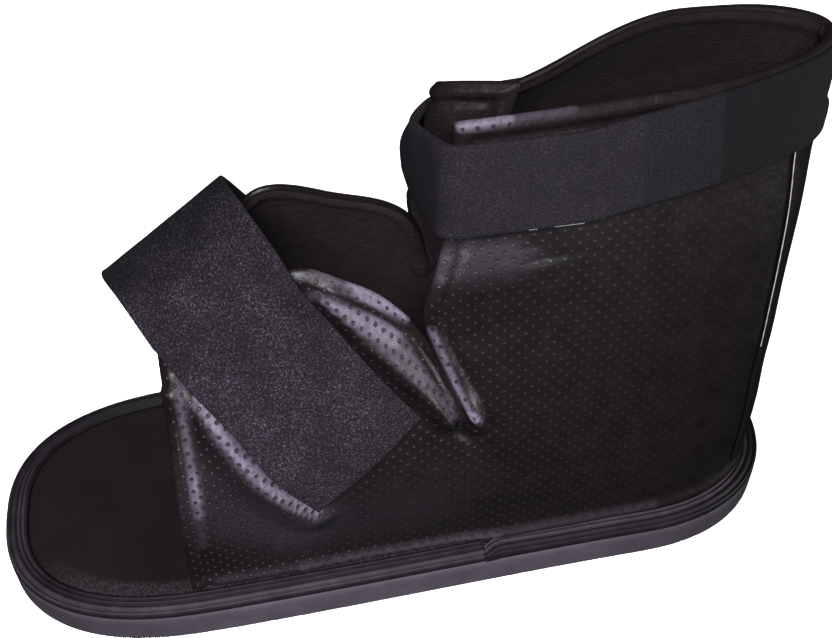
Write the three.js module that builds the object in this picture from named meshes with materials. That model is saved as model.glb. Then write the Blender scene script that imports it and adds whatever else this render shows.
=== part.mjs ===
// Open-toe cast shoe for the left foot: a flat sole with a ribbed welt, a footbed, two padded
// side panels that meet at the heel, a backstay strip and two hook-and-loop straps.
// Millimetres, +Z up, toe towards -Y, the outer (lateral) side towards +X, sole on Z = 0.

import * as THREE from "three";

// Driving dimensions

const SOLE = {
  length: 291,
  toeHalfWidth: 53.9,
  heelHalfWidth: 51.2,
  toeRound: 75,
  heelRound: 61,
  toePower: 2.5,
  heelPower: 2.3,
  toeSpring: 2.4,
  springStart: -95,
};
// Side of the slab from the ground up: height, and how far it lies inside the outline
const SOLE_LEVELS = [
  { z: 0, inset: 0.9 },
  { z: 1.5, inset: 0.1 },
  { z: 10.9, inset: 0 },
  { z: 12, inset: 0.8 },
];
const FOOTBED_LEVELS = [
  { z: 12.3, inset: 8.1 },
  { z: 15, inset: 8.1 },
  { z: 16.1, inset: 9.6 },
];
const WELT = { base: 12.3, lip: 2.2, ribs: 4, ribWidth: 1.75, ribRise: 0.9, climb: 0.35, width: 7.7 };
const WELT_JOINT_Y = 25;
const PIECE_GAP = 0.35;
const LAID_GAP = 1.0;

const WALL = 2.6;
const HEM = { width: 5, swell: 0.8 };
const FOOT_INSET = 8.8;
const FOOT_Z = 17.7;
const SEAM_GAP = 0.25;
const HEEL_SEAM_Y = 120;

// Ankle quarter, a row per level from the sole to the collar: its front edge, its widest
// place, the middle of the heel, and the share of the way back over which its height rises,
// which is the whole of it where none is named
const LOW_LEVELS = [
  { frontX: 45.2, frontY: 26, frontZ: FOOT_Z, sideX: 44, sideY: 82, heelY: 136.8, heelZ: FOOT_Z, power: 2.3 },
  { frontX: 45.4, frontY: 24, frontZ: 48, sideX: 43.8, sideY: 82, heelY: 137, heelZ: 50, power: 2.3 },
  { frontX: 43.4, frontY: 21, frontZ: 76, sideX: 41.5, sideY: 84, heelY: 136.4, heelZ: 84, power: 2.25 },
];
const QUARTER_LEVELS = {
  lateral: [
    ...LOW_LEVELS,
    { frontX: 34.5, frontY: 6, frontZ: 121, sideX: 36, sideY: 86, heelY: 136.2, heelZ: 126, power: 2.2 },
    { frontX: 28.5, frontY: 14, frontZ: 150, sideX: 28.5, sideY: 90, heelY: 136.8, heelZ: 156, power: 2.1 },
    { frontX: 18.5, frontY: 17.5, frontZ: 180, sideX: 19.5, sideY: 95, heelY: 138.8, heelZ: 188, power: 2.0 },
  ],
  medial: [
    ...LOW_LEVELS,
    { frontX: 34, frontY: 13.5, frontZ: 119, sideX: 36, sideY: 86, heelY: 136.2, heelZ: 126, power: 2.2 },
    {
      frontX: 27, frontY: 20.5, frontZ: 146, sideX: 28.5, sideY: 90, heelY: 136.8, heelZ: 156,
      power: 2.1, rise: 0.8,
    },
    {
      frontX: 15, frontY: 32, frontZ: 169, sideX: 19.5, sideY: 97, heelY: 138.8, heelZ: 187.5,
      power: 2.0, rise: 0.5,
    },
  ],
};
const LEVEL_COUNT = QUARTER_LEVELS.lateral.length;
const NOTCH_LEVEL = 2;
const SIDE_SHARE = 0.5;

// Forefoot flap, a row per rib from the toe end to the slit: where it leaves the sole, its
// bulge part-way up, and its top
const FLAP_RIBS = {
  lateral: [
    { footY: -79, midX: 44.8, midZ: 62, topX: 20.5, topY: -76.6, topZ: 109.5 },
    { footY: -57, midX: 44.8, midZ: 70, topX: 22, topY: -55, topZ: 119 },
    { footY: -33, midX: 44.8, midZ: 76, topX: 21, topY: -33, topZ: 137 },
    { footY: -9, midX: 46, midZ: 70, topX: 25, topY: -14, topZ: 130 },
    { footY: 12, midX: 45.8, midZ: 62, topX: 31, topY: 2, topZ: 116 },
    { footY: 26, midX: 45.4, midZ: 48, topX: 43.4, topY: 21, topZ: 76 },
  ],
  medial: [
    { footY: -69, midX: 45.8, midZ: 60, topX: 24, topY: -67, topZ: 104 },
    { footY: -54, midX: 46.4, midZ: 70, topX: 21, topY: -55, topZ: 119 },
    { footY: -33, midX: 46.4, midZ: 76, topX: 19, topY: -39, topZ: 138 },
    { footY: -9, midX: 46, midZ: 70, topX: 25, topY: -13, topZ: 128 },
    { footY: 12, midX: 45.8, midZ: 62, topX: 31, topY: 11.5, topZ: 111.8 },
    { footY: 26, midX: 45.4, midZ: 48, topX: 43.4, topY: 21, topZ: 76 },
  ],
};

// Front flap of the inner panel, which wraps round the ankle: a row per height, with the
// places it passes on its way from the inner quarter to the end tucked inside the outer one
const WRAP_LEVELS = [
  { cheekX: -19, cheekY: 15, cheekZ: 130, noseX: 2, noseY: 14, noseZ: 138, endX: 16, endY: 24, endZ: 143 },
  { cheekX: -17, cheekY: 12, cheekZ: 150, noseX: 2, noseY: 12, noseZ: 153, endX: 17, endY: 28, endZ: 155 },
  { cheekX: -10, cheekY: 17.5, cheekZ: 168, noseX: 3, noseY: 12, noseZ: 172, endX: 15, endY: 32, endZ: 172 },
  { cheekX: -9, cheekY: 18.5, cheekZ: 177, noseX: 1, noseY: 16, noseZ: 183, endX: 12, endY: 37, endZ: 187 },
];
const WRAP_START_LEVEL = 3;

// Folds of the outer panel, seen from the side: a ridge from one point to another
const FOLDS = [
  { name: "beside the strap's front edge", y0: -71, z0: 99, y1: -36, z1: 50, width: 6.5, rise: 4 },
  { name: "behind the strap", y0: -22, z0: 126, y1: 12, z1: 81, width: 7, rise: 5 },
  { name: "front edge", y0: -74, z0: 98, y1: -77, z1: 45, width: 6, rise: 2.5 },
];

const STRAP_THICKNESS = 2.4;
// Forefoot strap, a row per crossing line from its outer end to its inner end. A row that
// names a side lies on that panel; the others cross the gap between the flaps at x.
const FOREFOOT_STRAP = [
  { side: 1, frontY: -33.5, frontZ: 53.5, rearY: 2.5, rearZ: 86 },
  { side: 1, frontY: -45, frontZ: 68.5, rearY: -10, rearZ: 103 },
  { side: 1, frontY: -58, frontZ: 89, rearY: -22, rearZ: 120 },
  { side: 1, frontY: -70, frontZ: 102, rearY: -31, rearZ: 132 },
  { x: 18, frontY: -78.5, frontZ: 112.6, rearY: -38, rearZ: 144.5 },
  { x: 2, frontY: -86.5, frontZ: 116, rearY: -45, rearZ: 149.5 },
  { x: -15, frontY: -92, frontZ: 112.3, rearY: -48.8, rearZ: 146.3 },
  { side: -1, frontY: -81, frontZ: 92, rearY: -40, rearZ: 126 },
  { side: -1, frontY: -71, frontZ: 74, rearY: -30, rearZ: 108 },
  { side: -1, frontY: -61, frontZ: 56, rearY: -20, rearZ: 89 },
  { side: -1, frontY: -51, frontZ: 38, rearY: -10, rearZ: 70 },
];
const FOREFOOT_GAP = 1.7;
// Where the strap runs past a flap's front edge it keeps the height of the flap there
const FLAP_FRONT = { lateral: -72, medial: -66 };

// Ankle strap: its lower edge's height at the front, its slope towards the outer side, and its
// climb to the heel from a place along the shoe. Only what lies behind frontY is held by it.
const ANKLE_STRAP = { width: 29, low: 141, lean: 0.25, climb: 0.185, climbStart: 54, frontY: 2 };

// Backstay: it runs from its foot up under the ankle strap, by a little more than one row of that
// strap's points. Half its width spans these angles at the bottom and the top, and narrows the more
// the higher it gets.
const BACKSTAY = { low: 24, underStrap: 8, strapZ: 165, centreY: 96, lowAngle: 50, highAngle: 35.5 };
const BACKSTAY_NARROWING = 2.2;
const BACKSTAY_WALL = { thickness: 1.3, gap: 1 };

// How finely each surface is cut
const STEPS = {
  soleRound: 14,
  soleSide: 8,
  flapColumns: 18,
  quarterColumns: 15,
  wrapColumns: 7,
  lowRows: 11,
  highRows: 9,
  forefootColumns: 30,
  forefootRows: 8,
  ankleColumns: 52,
  ankleRows: 4,
  backstayColumns: 9,
  backstayRows: 14,
};

// Colours and finish
const FINISH = {
  vinyl: { color: 0x221e1f, roughness: 0.45 },
  loop: { color: 0x38323c, roughness: 0.95 },
  foam: { color: 0x625b68, roughness: 0.85 },
  rib: { color: 0x2b2729, roughness: 0.6 },
  cloth: { color: 0x232020, roughness: 0.95 },
};

// Solids from points and faces

const lerp = THREE.MathUtils.lerp;

function solidFrom(points, faces) {
  const geometry = new THREE.BufferGeometry();
  const numbers = points.flatMap((p) => [p.x, p.y, p.z]);
  geometry.setAttribute("position", new THREE.Float32BufferAttribute(numbers, 3));
  geometry.setIndex(faces.flatMap(([a, b, c, d]) => (d === undefined ? [a, b, c] : [a, b, c, a, c, d])));
  geometry.computeVertexNormals();
  return geometry;
}

// Quads of a grid of points, which split along the way that falls from column to column
function gridQuads(columns, wrap = false) {
  const quads = [];
  const last = wrap ? columns.length : columns.length - 1;
  for (let c = 0; c < last; c++) {
    const next = columns[(c + 1) % columns.length];
    for (let r = 0; r + 1 < columns[c].length; r++) {
      quads.push([next[r], next[r + 1], columns[c][r + 1], columns[c][r]]);
    }
  }
  return quads;
}

// A sheet of quads, whose corners are shared point objects, thickened inwards to a closed solid
function thicken(quads, thicknessAt, outwardAt = () => 0, settle = (p) => p) {
  const index = new Map();
  for (const quad of quads) {
    for (const point of quad) {
      if (!index.has(point)) index.set(point, index.size);
    }
  }
  const sheet = [...index.keys()];
  const normals = sheet.map(() => new THREE.Vector3());
  const directed = new Set();
  for (const quad of quads) {
    const diagonal = quad[2].clone().sub(quad[0]);
    const normal = diagonal.cross(quad[3].clone().sub(quad[1]));
    quad.forEach((point, i) => {
      normals[index.get(point)].add(normal);
      directed.add(`${index.get(point)} ${index.get(quad[(i + 1) % 4])}`);
    });
  }
  normals.forEach((normal) => normal.normalize());
  const outer = sheet.map((p, i) => settle(p.clone().addScaledVector(normals[i], outwardAt(p))));
  const inner = outer.map((p, i) => settle(p.clone().addScaledVector(normals[i], -thicknessAt(sheet[i]))));
  const count = sheet.length;
  const faces = [];
  for (const quad of quads) {
    const [a, b, c, d] = quad.map((point) => index.get(point));
    faces.push([a, b, c, d], [c + count, b + count, a + count, d + count]);
  }
  for (const edge of directed) {
    const [a, b] = edge.split(" ").map(Number);
    if (!directed.has(`${b} ${a}`)) faces.push([b, a, a + count, b + count]);
  }
  return solidFrom([...outer, ...inner], faces);
}

// Outline of the sole

function soleHalf() {
  const toeY = -SOLE.length / 2 + SOLE.toeRound;
  const heelY = SOLE.length / 2 - SOLE.heelRound;
  const points = [];
  for (let i = 0; i < STEPS.soleRound; i++) {
    const turn = ((i / STEPS.soleRound) * Math.PI) / 2;
    const power = 2 / SOLE.toePower;
    const x = SOLE.toeHalfWidth * Math.sin(turn) ** power;
    points.push(new THREE.Vector2(x, toeY - SOLE.toeRound * Math.cos(turn) ** power));
  }
  for (let i = 0; i < STEPS.soleSide; i++) {
    const share = i / STEPS.soleSide;
    const ease = THREE.MathUtils.smoothstep(share, 0, 1);
    const x = lerp(SOLE.toeHalfWidth, SOLE.heelHalfWidth, ease);
    points.push(new THREE.Vector2(x, lerp(toeY, heelY, share)));
  }
  for (let i = 0; i <= STEPS.soleRound; i++) {
    const turn = ((i / STEPS.soleRound) * Math.PI) / 2;
    const power = 2 / SOLE.heelPower;
    const x = i === STEPS.soleRound ? 0 : SOLE.heelHalfWidth * Math.cos(turn) ** power;
    points.push(new THREE.Vector2(x, heelY + SOLE.heelRound * Math.sin(turn) ** power));
  }
  return points;
}

// The whole outline as stations with outward directions, anticlockwise from the toe's tip
function soleStations() {
  const half = soleHalf();
  const back = half.slice(1, -1).reverse().map((p) => new THREE.Vector2(-p.x, p.y));
  const loop = [...half, ...back];
  return loop.map((point, i) => {
    const before = loop[(i + loop.length - 1) % loop.length];
    const after = loop[(i + 1) % loop.length];
    const along = after.clone().sub(before).normalize();
    return { point, outward: new THREE.Vector2(along.y, -along.x) };
  });
}

const STATIONS = soleStations();

function insetPoint(station, inset) {
  return station.point.clone().addScaledVector(station.outward, -inset);
}

// Half-width of the outline, set in by an amount, at a distance along the shoe
function halfWidthAt(y, inset) {
  const edge = STATIONS.slice(0, STATIONS.length / 2 + 1).map((station) => insetPoint(station, inset));
  const i = edge.findIndex((point, k) => k > 0 && point.y >= y);
  const share = (y - edge[i - 1].y) / (edge[i].y - edge[i - 1].y);
  return lerp(edge[i - 1].x, edge[i].x, share);
}

function toeSpring(y, z) {
  const reach = Math.max(0, (SOLE.springStart - y) / (SOLE.length / 2 + SOLE.springStart));
  const top = SOLE_LEVELS[SOLE_LEVELS.length - 1].z;
  return SOLE.toeSpring * reach ** 2 * Math.max(0, 1 - z / top);
}

// A slab lofted through insets of the outline, closed by rungs across its bottom and top
function slab(levels) {
  const count = STATIONS.length;
  const points = levels.flatMap(({ z, inset }) =>
    STATIONS.map((station) => {
      const p = insetPoint(station, inset);
      return new THREE.Vector3(p.x, p.y, z + toeSpring(p.y, z));
    }),
  );
  const faces = [];
  for (let level = 0; level + 1 < levels.length; level++) {
    for (let i = 0; i < count; i++) {
      const next = (i + 1) % count;
      const low = level * count;
      faces.push([low + i, low + next, low + count + next, low + count + i]);
    }
  }
  const top = (levels.length - 1) * count;
  for (let i = 0; i < count / 2; i++) {
    const rung = [i, i + 1, count - i - 1, (count - i) % count];
    const corners = rung.filter((corner, k) => rung.indexOf(corner) === k);
    faces.push(corners.map((corner) => corner + top), [...corners].reverse());
  }
  return solidFrom(points, faces);
}

// Ribbed welt

// Section of the strip as (inset, height), anticlockwise seen with the outside on the right
function weltSection() {
  const { base, lip, ribs, ribWidth, ribRise, climb, width } = WELT;
  const top = [new THREE.Vector2(0, base + lip)];
  for (let rib = 0; rib < ribs; rib++) {
    const start = rib * ribWidth;
    const valley = base + lip + rib * climb;
    top.push(new THREE.Vector2(start + ribWidth / 2, valley + ribRise));
    top.push(new THREE.Vector2(start + ribWidth, valley + climb));
  }
  const end = top[top.length - 1];
  top.push(new THREE.Vector2(width, end.y));
  const chamfer = { across: 0.8, up: 0.4 };
  const low = [new THREE.Vector2(width, base), new THREE.Vector2(chamfer.across, base)];
  return [new THREE.Vector2(0, base + chamfer.up), ...top, ...low];
}

function sweepOpen(stations, section) {
  const size = section.length;
  const points = stations.flatMap((station) =>
    section.map(({ x: inset, y: z }) => {
      const p = insetPoint(station, inset);
      return new THREE.Vector3(p.x, p.y, z);
    }),
  );
  const faces = [];
  for (let s = 0; s + 1 < stations.length; s++) {
    for (let j = 0; j < size; j++) {
      const next = (j + 1) % size;
      faces.push([s * size + j, (s + 1) * size + j, (s + 1) * size + next, s * size + next]);
    }
  }
  const flat = section.map((p) => new THREE.Vector2(-p.x, p.y));
  for (const triangle of THREE.ShapeUtils.triangulateShape(flat, [])) {
    const turned = THREE.ShapeUtils.area(triangle.map((i) => flat[i])) < 0;
    const start = turned ? [...triangle].reverse() : triangle;
    const shift = (stations.length - 1) * size;
    faces.push(start, [...start].reverse().map((i) => i + shift));
  }
  return solidFrom(points, faces);
}

// Stations of the strip from one joint round to the other, with a station on each joint
function weltStations(front) {
  const cut = WELT_JOINT_Y + (front ? -PIECE_GAP / 2 : PIECE_GAP / 2);
  const joint = (side) => ({
    point: new THREE.Vector2(side * halfWidthAt(cut, 0), cut),
    outward: new THREE.Vector2(side, 0),
  });
  const lateral = STATIONS.slice(0, STATIONS.length / 2 + 1);
  const medial = STATIONS.slice(STATIONS.length / 2 + 1);
  if (front) {
    const before = lateral.filter(({ point }) => point.y < cut - 1);
    const after = medial.filter(({ point }) => point.y < cut - 1);
    return [joint(-1), ...after, ...before, joint(1)];
  }
  const before = lateral.filter(({ point }) => point.y > cut + 1);
  const after = medial.filter(({ point }) => point.y > cut + 1);
  return [joint(1), ...before, ...after, joint(-1)];
}

// Side panels

function smoothThrough(points) {
  return new THREE.CatmullRomCurve3(points, false, "centripetal");
}

// Point of a quarter level: share 0 at the front edge, 1 at the middle of the heel
function levelPoint(level, share) {
  const z = lerp(level.frontZ, level.heelZ, THREE.MathUtils.smoothstep(share, 0, level.rise ?? 1));
  if (share < SIDE_SHARE) {
    const part = share / SIDE_SHARE;
    const x = lerp(level.frontX, level.sideX, THREE.MathUtils.smoothstep(part, 0, 1));
    return new THREE.Vector3(x, lerp(level.frontY, level.sideY, part), z);
  }
  const turn = ((share - SIDE_SHARE) / (1 - SIDE_SHARE)) * (Math.PI / 2);
  const x = level.sideX * Math.max(0, Math.cos(turn)) ** (2 / level.power);
  const y = level.sideY + (level.heelY - level.sideY) * Math.sin(turn) ** (2 / level.power);
  return new THREE.Vector3(Math.max(x, SEAM_GAP), y, z);
}

function quarterColumn(levels, share, heights) {
  const curve = smoothThrough(levels.map((level) => levelPoint(level, share)));
  return heights.map((height) => curve.getPoint(height));
}

function flapPoint(ribs, share, height) {
  const across = ribs.map((rib) => {
    const foot = new THREE.Vector3(halfWidthAt(rib.footY, FOOT_INSET), rib.footY, FOOT_Z);
    const top = new THREE.Vector3(rib.topX, rib.topY, rib.topZ);
    const mid = new THREE.Vector3(rib.midX, lerp(rib.footY, rib.topY, 0.45), rib.midZ);
    return smoothThrough([foot, mid, top]).getPoint(height);
  });
  return smoothThrough(across).getPoint(share);
}

// Shares from 0 to 1 in even steps, with two finer steps for a hem at one or both ends
function hemmedShares(steps, length, { atStart = false, atEnd = false }) {
  const edge = HEM.width / length;
  const from = atStart ? edge : 0;
  const to = atEnd ? 1 - edge : 1;
  const shares = atStart ? [0, edge / 2] : [];
  for (let i = 0; i <= steps; i++) shares.push(lerp(from, to, i / steps));
  return atEnd ? [...shares, 1 - edge / 2, 1] : shares;
}

const LENGTHS = { flapHeight: 105, flapRun: 105, quarterTop: 105, quarterRun: 190 };
const NOTCH_HEIGHT = NOTCH_LEVEL / (LEVEL_COUNT - 1);
const LOW_SHARES = hemmedShares(STEPS.lowRows, LENGTHS.flapHeight, { atEnd: true });
const HIGH_SHARES = hemmedShares(STEPS.highRows, LENGTHS.quarterTop, { atEnd: true });
const HEIGHTS = [
  ...LOW_SHARES.map((share) => share * NOTCH_HEIGHT),
  ...HIGH_SHARES.slice(1).map((share) => lerp(NOTCH_HEIGHT, 1, share)),
];

// Distance of a point from a polyline
function distanceTo(line, point) {
  const nearest = new THREE.Vector3();
  const distances = line.slice(1).map((end, i) => {
    new THREE.Line3(line[i], end).closestPointToPoint(point, true, nearest);
    return nearest.distanceTo(point);
  });
  return Math.min(...distances);
}

function foldRise(point) {
  const seen = new THREE.Vector3(0, point.y, point.z);
  return FOLDS.reduce((rise, fold) => {
    const line = [new THREE.Vector3(0, fold.y0, fold.z0), new THREE.Vector3(0, fold.y1, fold.z1)];
    return rise + fold.rise * Math.exp(-((distanceTo(line, seen) / fold.width) ** 2));
  }, 0);
}

// Columns of points of one panel, and the lines along which its edge is hemmed
function panelSheet(name, side) {
  const quarterShares = hemmedShares(STEPS.quarterColumns, LENGTHS.quarterRun, { atStart: true });
  const quarter = quarterShares.map((share) => quarterColumn(QUARTER_LEVELS[name], share, HEIGHTS));
  const flapShares = hemmedShares(STEPS.flapColumns, LENGTHS.flapRun, { atStart: true }).slice(0, -1);
  const ribs = FLAP_RIBS[name];
  const flap = flapShares.map((share) => LOW_SHARES.map((height) => flapPoint(ribs, share, height)));
  flap.push(quarter[0].slice(0, LOW_SHARES.length));
  const pieces = [flap, quarter];
  const mirrored = new Set();
  for (const point of pieces.flat(2)) {
    if (!mirrored.has(point)) point.x *= side;
    mirrored.add(point);
  }
  const hems = [
    flap[0],
    flap.map((column) => column[column.length - 1]),
    quarter[0].slice(LOW_SHARES.length - 1),
    quarter.map((column) => column[column.length - 1]),
  ];
  return { flap, quarter, hems };
}

function panelSolid(sheet, pieces, side, folded) {
  const quads = pieces.flatMap((piece) => gridQuads(piece));
  const facing = side > 0 ? quads : quads.map((quad) => [...quad].reverse());
  const swell = (point) => {
    const reach = Math.min(...sheet.hems.map((line) => distanceTo(line, point))) / HEM.width;
    return HEM.swell * Math.sin(Math.PI * Math.min(reach, 1));
  };
  const thickness = (point) => WALL + 2 * swell(point);
  const outward = (point) => swell(point) + (folded ? foldRise(point) : 0);
  const keepToSide = (point) => {
    if (point.y > HEEL_SEAM_Y) point.x = side * Math.max(side * point.x, SEAM_GAP);
    return point;
  };
  return thicken(facing, thickness, outward, keepToSide);
}

// The wrap's columns run on from the front edge of the inner quarter, round the ankle's front
function wrapColumns(frontEdge) {
  const startHeight = WRAP_START_LEVEL / (LEVEL_COUNT - 1);
  const startRow = HEIGHTS.findIndex((height) => height >= startHeight);
  const rows = frontEdge.slice(startRow);
  const stop = (name) => smoothThrough(
    WRAP_LEVELS.map((level) => new THREE.Vector3(level[`${name}X`], level[`${name}Y`], level[`${name}Z`])),
  );
  const stops = ["end", "nose", "cheek"].map(stop);
  const paths = rows.map((point, r) => {
    const share = (HEIGHTS[startRow + r] - HEIGHTS[startRow]) / (1 - HEIGHTS[startRow]);
    return smoothThrough([...stops.map((curve) => curve.getPoint(share)), point]);
  });
  const columns = [];
  for (let c = 0; c < STEPS.wrapColumns; c++) {
    columns.push(paths.map((path) => path.getPoint(c / STEPS.wrapColumns)));
  }
  return [...columns, rows];
}

function lateralPanel() {
  const sheet = panelSheet("lateral", 1);
  return panelSolid(sheet, [sheet.flap, sheet.quarter], 1, true);
}

function medialPanel() {
  const sheet = panelSheet("medial", -1);
  const wrap = wrapColumns(sheet.quarter[0]);
  const top = (columns) => columns.map((column) => column[column.length - 1]);
  sheet.hems[2] = sheet.quarter[0].slice(LOW_SHARES.length - 1, -wrap[0].length + 1);
  sheet.hems.push(wrap[0], top(wrap), wrap.map((column) => column[0]));
  return panelSolid(sheet, [sheet.flap, sheet.quarter, wrap], -1, false);
}

// Straps and backstay, laid on the panels

const caster = new THREE.Raycaster();

// How far from a centre the outermost surface lies, in a level direction
function surfaceReach(meshes, centre, direction) {
  const far = 300;
  caster.set(centre.clone().addScaledVector(direction, far), direction.clone().negate());
  const [hit] = caster.intersectObjects(meshes, false);
  return hit ? far - hit.distance : 0;
}

function layOnSide(panels, side, y, z) {
  const direction = new THREE.Vector3(side, 0, 0);
  const onFlap = Math.max(y, side > 0 ? FLAP_FRONT.lateral : FLAP_FRONT.medial);
  const reach = surfaceReach(panels, new THREE.Vector3(0, onFlap, z), direction);
  return reach > 0 ? side * (reach + FOREFOOT_GAP) : 0;
}

function forefootStrap(panels) {
  const edges = Array.from({ length: STEPS.forefootRows + 1 }, (_, row) => {
    const share = row / STEPS.forefootRows;
    const line = FOREFOOT_STRAP.map((rung) => {
      const y = lerp(rung.frontY, rung.rearY, share);
      const z = lerp(rung.frontZ, rung.rearZ, share);
      return new THREE.Vector3(rung.side ? layOnSide(panels, rung.side, y, z) : rung.x, y, z);
    });
    const points = smoothThrough(line).getPoints(STEPS.forefootColumns);
    for (const point of points) {
      const side = Math.sign(point.x);
      const laid = layOnSide(panels, side, point.y, point.z);
      point.x = side * Math.max(side * point.x, side * laid);
    }
    return points;
  });
  const columns = edges[0].map((_, step) => edges.map((edge) => edge[step]));
  const facing = gridQuads(columns).map((quad) => quad.reverse());
  return thicken(facing, () => STRAP_THICKNESS, () => STRAP_THICKNESS);
}

// Points where meshes cross a surface, where a function of the point changes sign
function crossings(meshes, above) {
  const points = [];
  for (const { geometry } of meshes) {
    const { position } = geometry.attributes;
    const corner = (i) => new THREE.Vector3().fromBufferAttribute(position, geometry.index.getX(i));
    for (let i = 0; i < geometry.index.count; i += 3) {
      const triangle = [corner(i), corner(i + 1), corner(i + 2)];
      triangle.forEach((from, k) => {
        const to = triangle[(k + 1) % 3];
        const [start, end] = [above(from), above(to)];
        if (start * end < 0) points.push(from.clone().lerp(to, start / (start - end)));
      });
    }
  }
  return points;
}

// Height of the ankle strap's lower edge over a place
function ankleHeight(place) {
  const { low, lean, climb, climbStart } = ANKLE_STRAP;
  return low + lean * place.x + climb * Math.max(0, place.y - climbStart);
}

// A band pulled taut round what it holds: each column touches the farthest point its own way
function ankleStrap(under) {
  const { width, frontY } = ANKLE_STRAP;
  const columns = Array.from({ length: STEPS.ankleColumns }, () => []);
  for (let row = 0; row <= STEPS.ankleRows; row++) {
    const heightAt = (p) => ankleHeight(p) + (width * row) / STEPS.ankleRows;
    const held = crossings(under, (p) => p.z - heightAt(p)).filter((p) => p.y > frontY);
    columns.forEach((column, k) => {
      const turn = (k / columns.length) * 2 * Math.PI;
      const way = new THREE.Vector3(Math.cos(turn), Math.sin(turn), 0);
      const farthest = held.reduce((best, point) => (point.dot(way) > best.dot(way) ? point : best));
      const point = farthest.clone().addScaledVector(way, LAID_GAP);
      column.push(point.setZ(heightAt(point)));
    });
  }
  return thicken(gridQuads(columns, true), () => STRAP_THICKNESS, () => STRAP_THICKNESS);
}

function backstay(panels) {
  const { low, underStrap, strapZ, centreY, lowAngle, highAngle } = BACKSTAY;
  const { thickness, gap } = BACKSTAY_WALL;
  const { backstayColumns: columns, backstayRows: rows } = STEPS;
  const laidAt = (across, up, z) => {
    const halfAngle = lerp(lowAngle, highAngle, up ** BACKSTAY_NARROWING);
    const turn = THREE.MathUtils.degToRad(90 + lerp(-halfAngle, halfAngle, across));
    const direction = new THREE.Vector3(Math.cos(turn), Math.sin(turn), 0);
    const centre = new THREE.Vector3(0, centreY, z);
    return centre.addScaledVector(direction, surfaceReach(panels, centre, direction) + gap);
  };
  const strip = Array.from({ length: columns + 1 }, (_, c) => {
    const high = ankleHeight(laidAt(c / columns, 1, strapZ)) + underStrap;
    const shares = Array.from({ length: rows + 1 }, (_, r) => r / rows);
    return shares.map((up) => laidAt(c / columns, up, lerp(low, high, up)));
  });
  return thicken(gridQuads(strip), () => thickness, () => thickness);
}

// Assembly

const shoe = new THREE.Group();

function addPiece(name, geometry, finish) {
  const material = new THREE.MeshStandardMaterial({ ...finish, metalness: 0 });
  const mesh = new THREE.Mesh(geometry, material);
  mesh.name = name;
  shoe.add(mesh);
  return mesh;
}

addPiece("sole", slab(SOLE_LEVELS), FINISH.foam);
addPiece("welt_front", sweepOpen(weltStations(true), weltSection()), FINISH.rib);
addPiece("welt_rear", sweepOpen(weltStations(false), weltSection()), FINISH.rib);
addPiece("footbed", slab(FOOTBED_LEVELS), FINISH.cloth);
const panels = [
  addPiece("upper_lateral", lateralPanel(), FINISH.vinyl),
  addPiece("upper_medial", medialPanel(), FINISH.vinyl),
];
const heelStrip = addPiece("backstay", backstay(panels), FINISH.vinyl);
addPiece("forefoot_strap", forefootStrap(panels), FINISH.loop);
addPiece("ankle_strap", ankleStrap([...panels, heelStrip]), FINISH.loop);

export default shoe;
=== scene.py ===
"""Looks of an open-toe cast shoe for the left foot, built around its solids.

Shapes are worked out in millimetres in the shared frame: +Z up, toe towards -Y, outer side +X.
"""

import math
from types import SimpleNamespace as Sizes

import bpy
import numpy as np
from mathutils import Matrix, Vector, noise
from mathutils.bvhtree import BVHTree
from mathutils.kdtree import KDTree


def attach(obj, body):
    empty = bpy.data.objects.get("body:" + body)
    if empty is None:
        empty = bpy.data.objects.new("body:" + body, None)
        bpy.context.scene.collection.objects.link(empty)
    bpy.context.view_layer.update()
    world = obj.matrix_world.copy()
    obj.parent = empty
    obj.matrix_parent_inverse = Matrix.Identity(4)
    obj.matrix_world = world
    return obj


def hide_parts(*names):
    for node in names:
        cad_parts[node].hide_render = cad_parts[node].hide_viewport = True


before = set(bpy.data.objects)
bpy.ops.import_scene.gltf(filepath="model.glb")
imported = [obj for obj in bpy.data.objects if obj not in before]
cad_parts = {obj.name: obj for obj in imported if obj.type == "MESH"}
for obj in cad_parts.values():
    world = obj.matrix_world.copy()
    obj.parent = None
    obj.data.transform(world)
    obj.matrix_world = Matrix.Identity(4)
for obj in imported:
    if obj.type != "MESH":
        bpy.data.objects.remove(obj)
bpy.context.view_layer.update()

MM = 0.001

# Sole, welt and footbed

SOLE = Sizes(
    length=291, toe_half=53.9, heel_half=51.2, toe_round=75, heel_round=61, toe_power=2.5, heel_power=2.3,
)
TOE_SPRING = Sizes(rise=2.4, start=-95)
SOLE_TOP = 12
# Height and inset from the outline, from the ground up
SOLE_PROFILE = [(0, 1.0), (0.2, 0.5), (0.9, 0.2), (3.5, 0.1), (7.5, 0), (10.6, 0), (11.7, 0.4), (12, 1.2)]
FOOTBED_PROFILE = [(12.3, 8.3), (14, 8.1), (15, 8.4), (15.7, 9.4), (16, 11.2)]
FOOTBED_CROWN = 0.5
WELT = Sizes(
    base=12.2, lip=1.9, rib_rise=1.15, climb=0.2, width=7.8,
    outer_edge=0.9, corner=0.25, inner_edge=0.5, joint_gap=0.2,
)
# Widths of its ribs, from the outer edge inwards
WELT_RIBS = [1.5, 2.5, 1.6, 1.5]
WELT_JOINT_Y = 25
# The rear strip's end laps over the front one, lifted and turned out, all but its lowest millimetre
WELT_LAP = Sizes(lift=0.9, reach=30, turn=7, turn_out=2.4, turn_down=1.4, held=1)
# How full the ribs and the rolled hems are: a power of a sine
ROLL_POWER = 0.7

# Side panels: a row per level of the ankle quarter, from the sole to the collar

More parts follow.
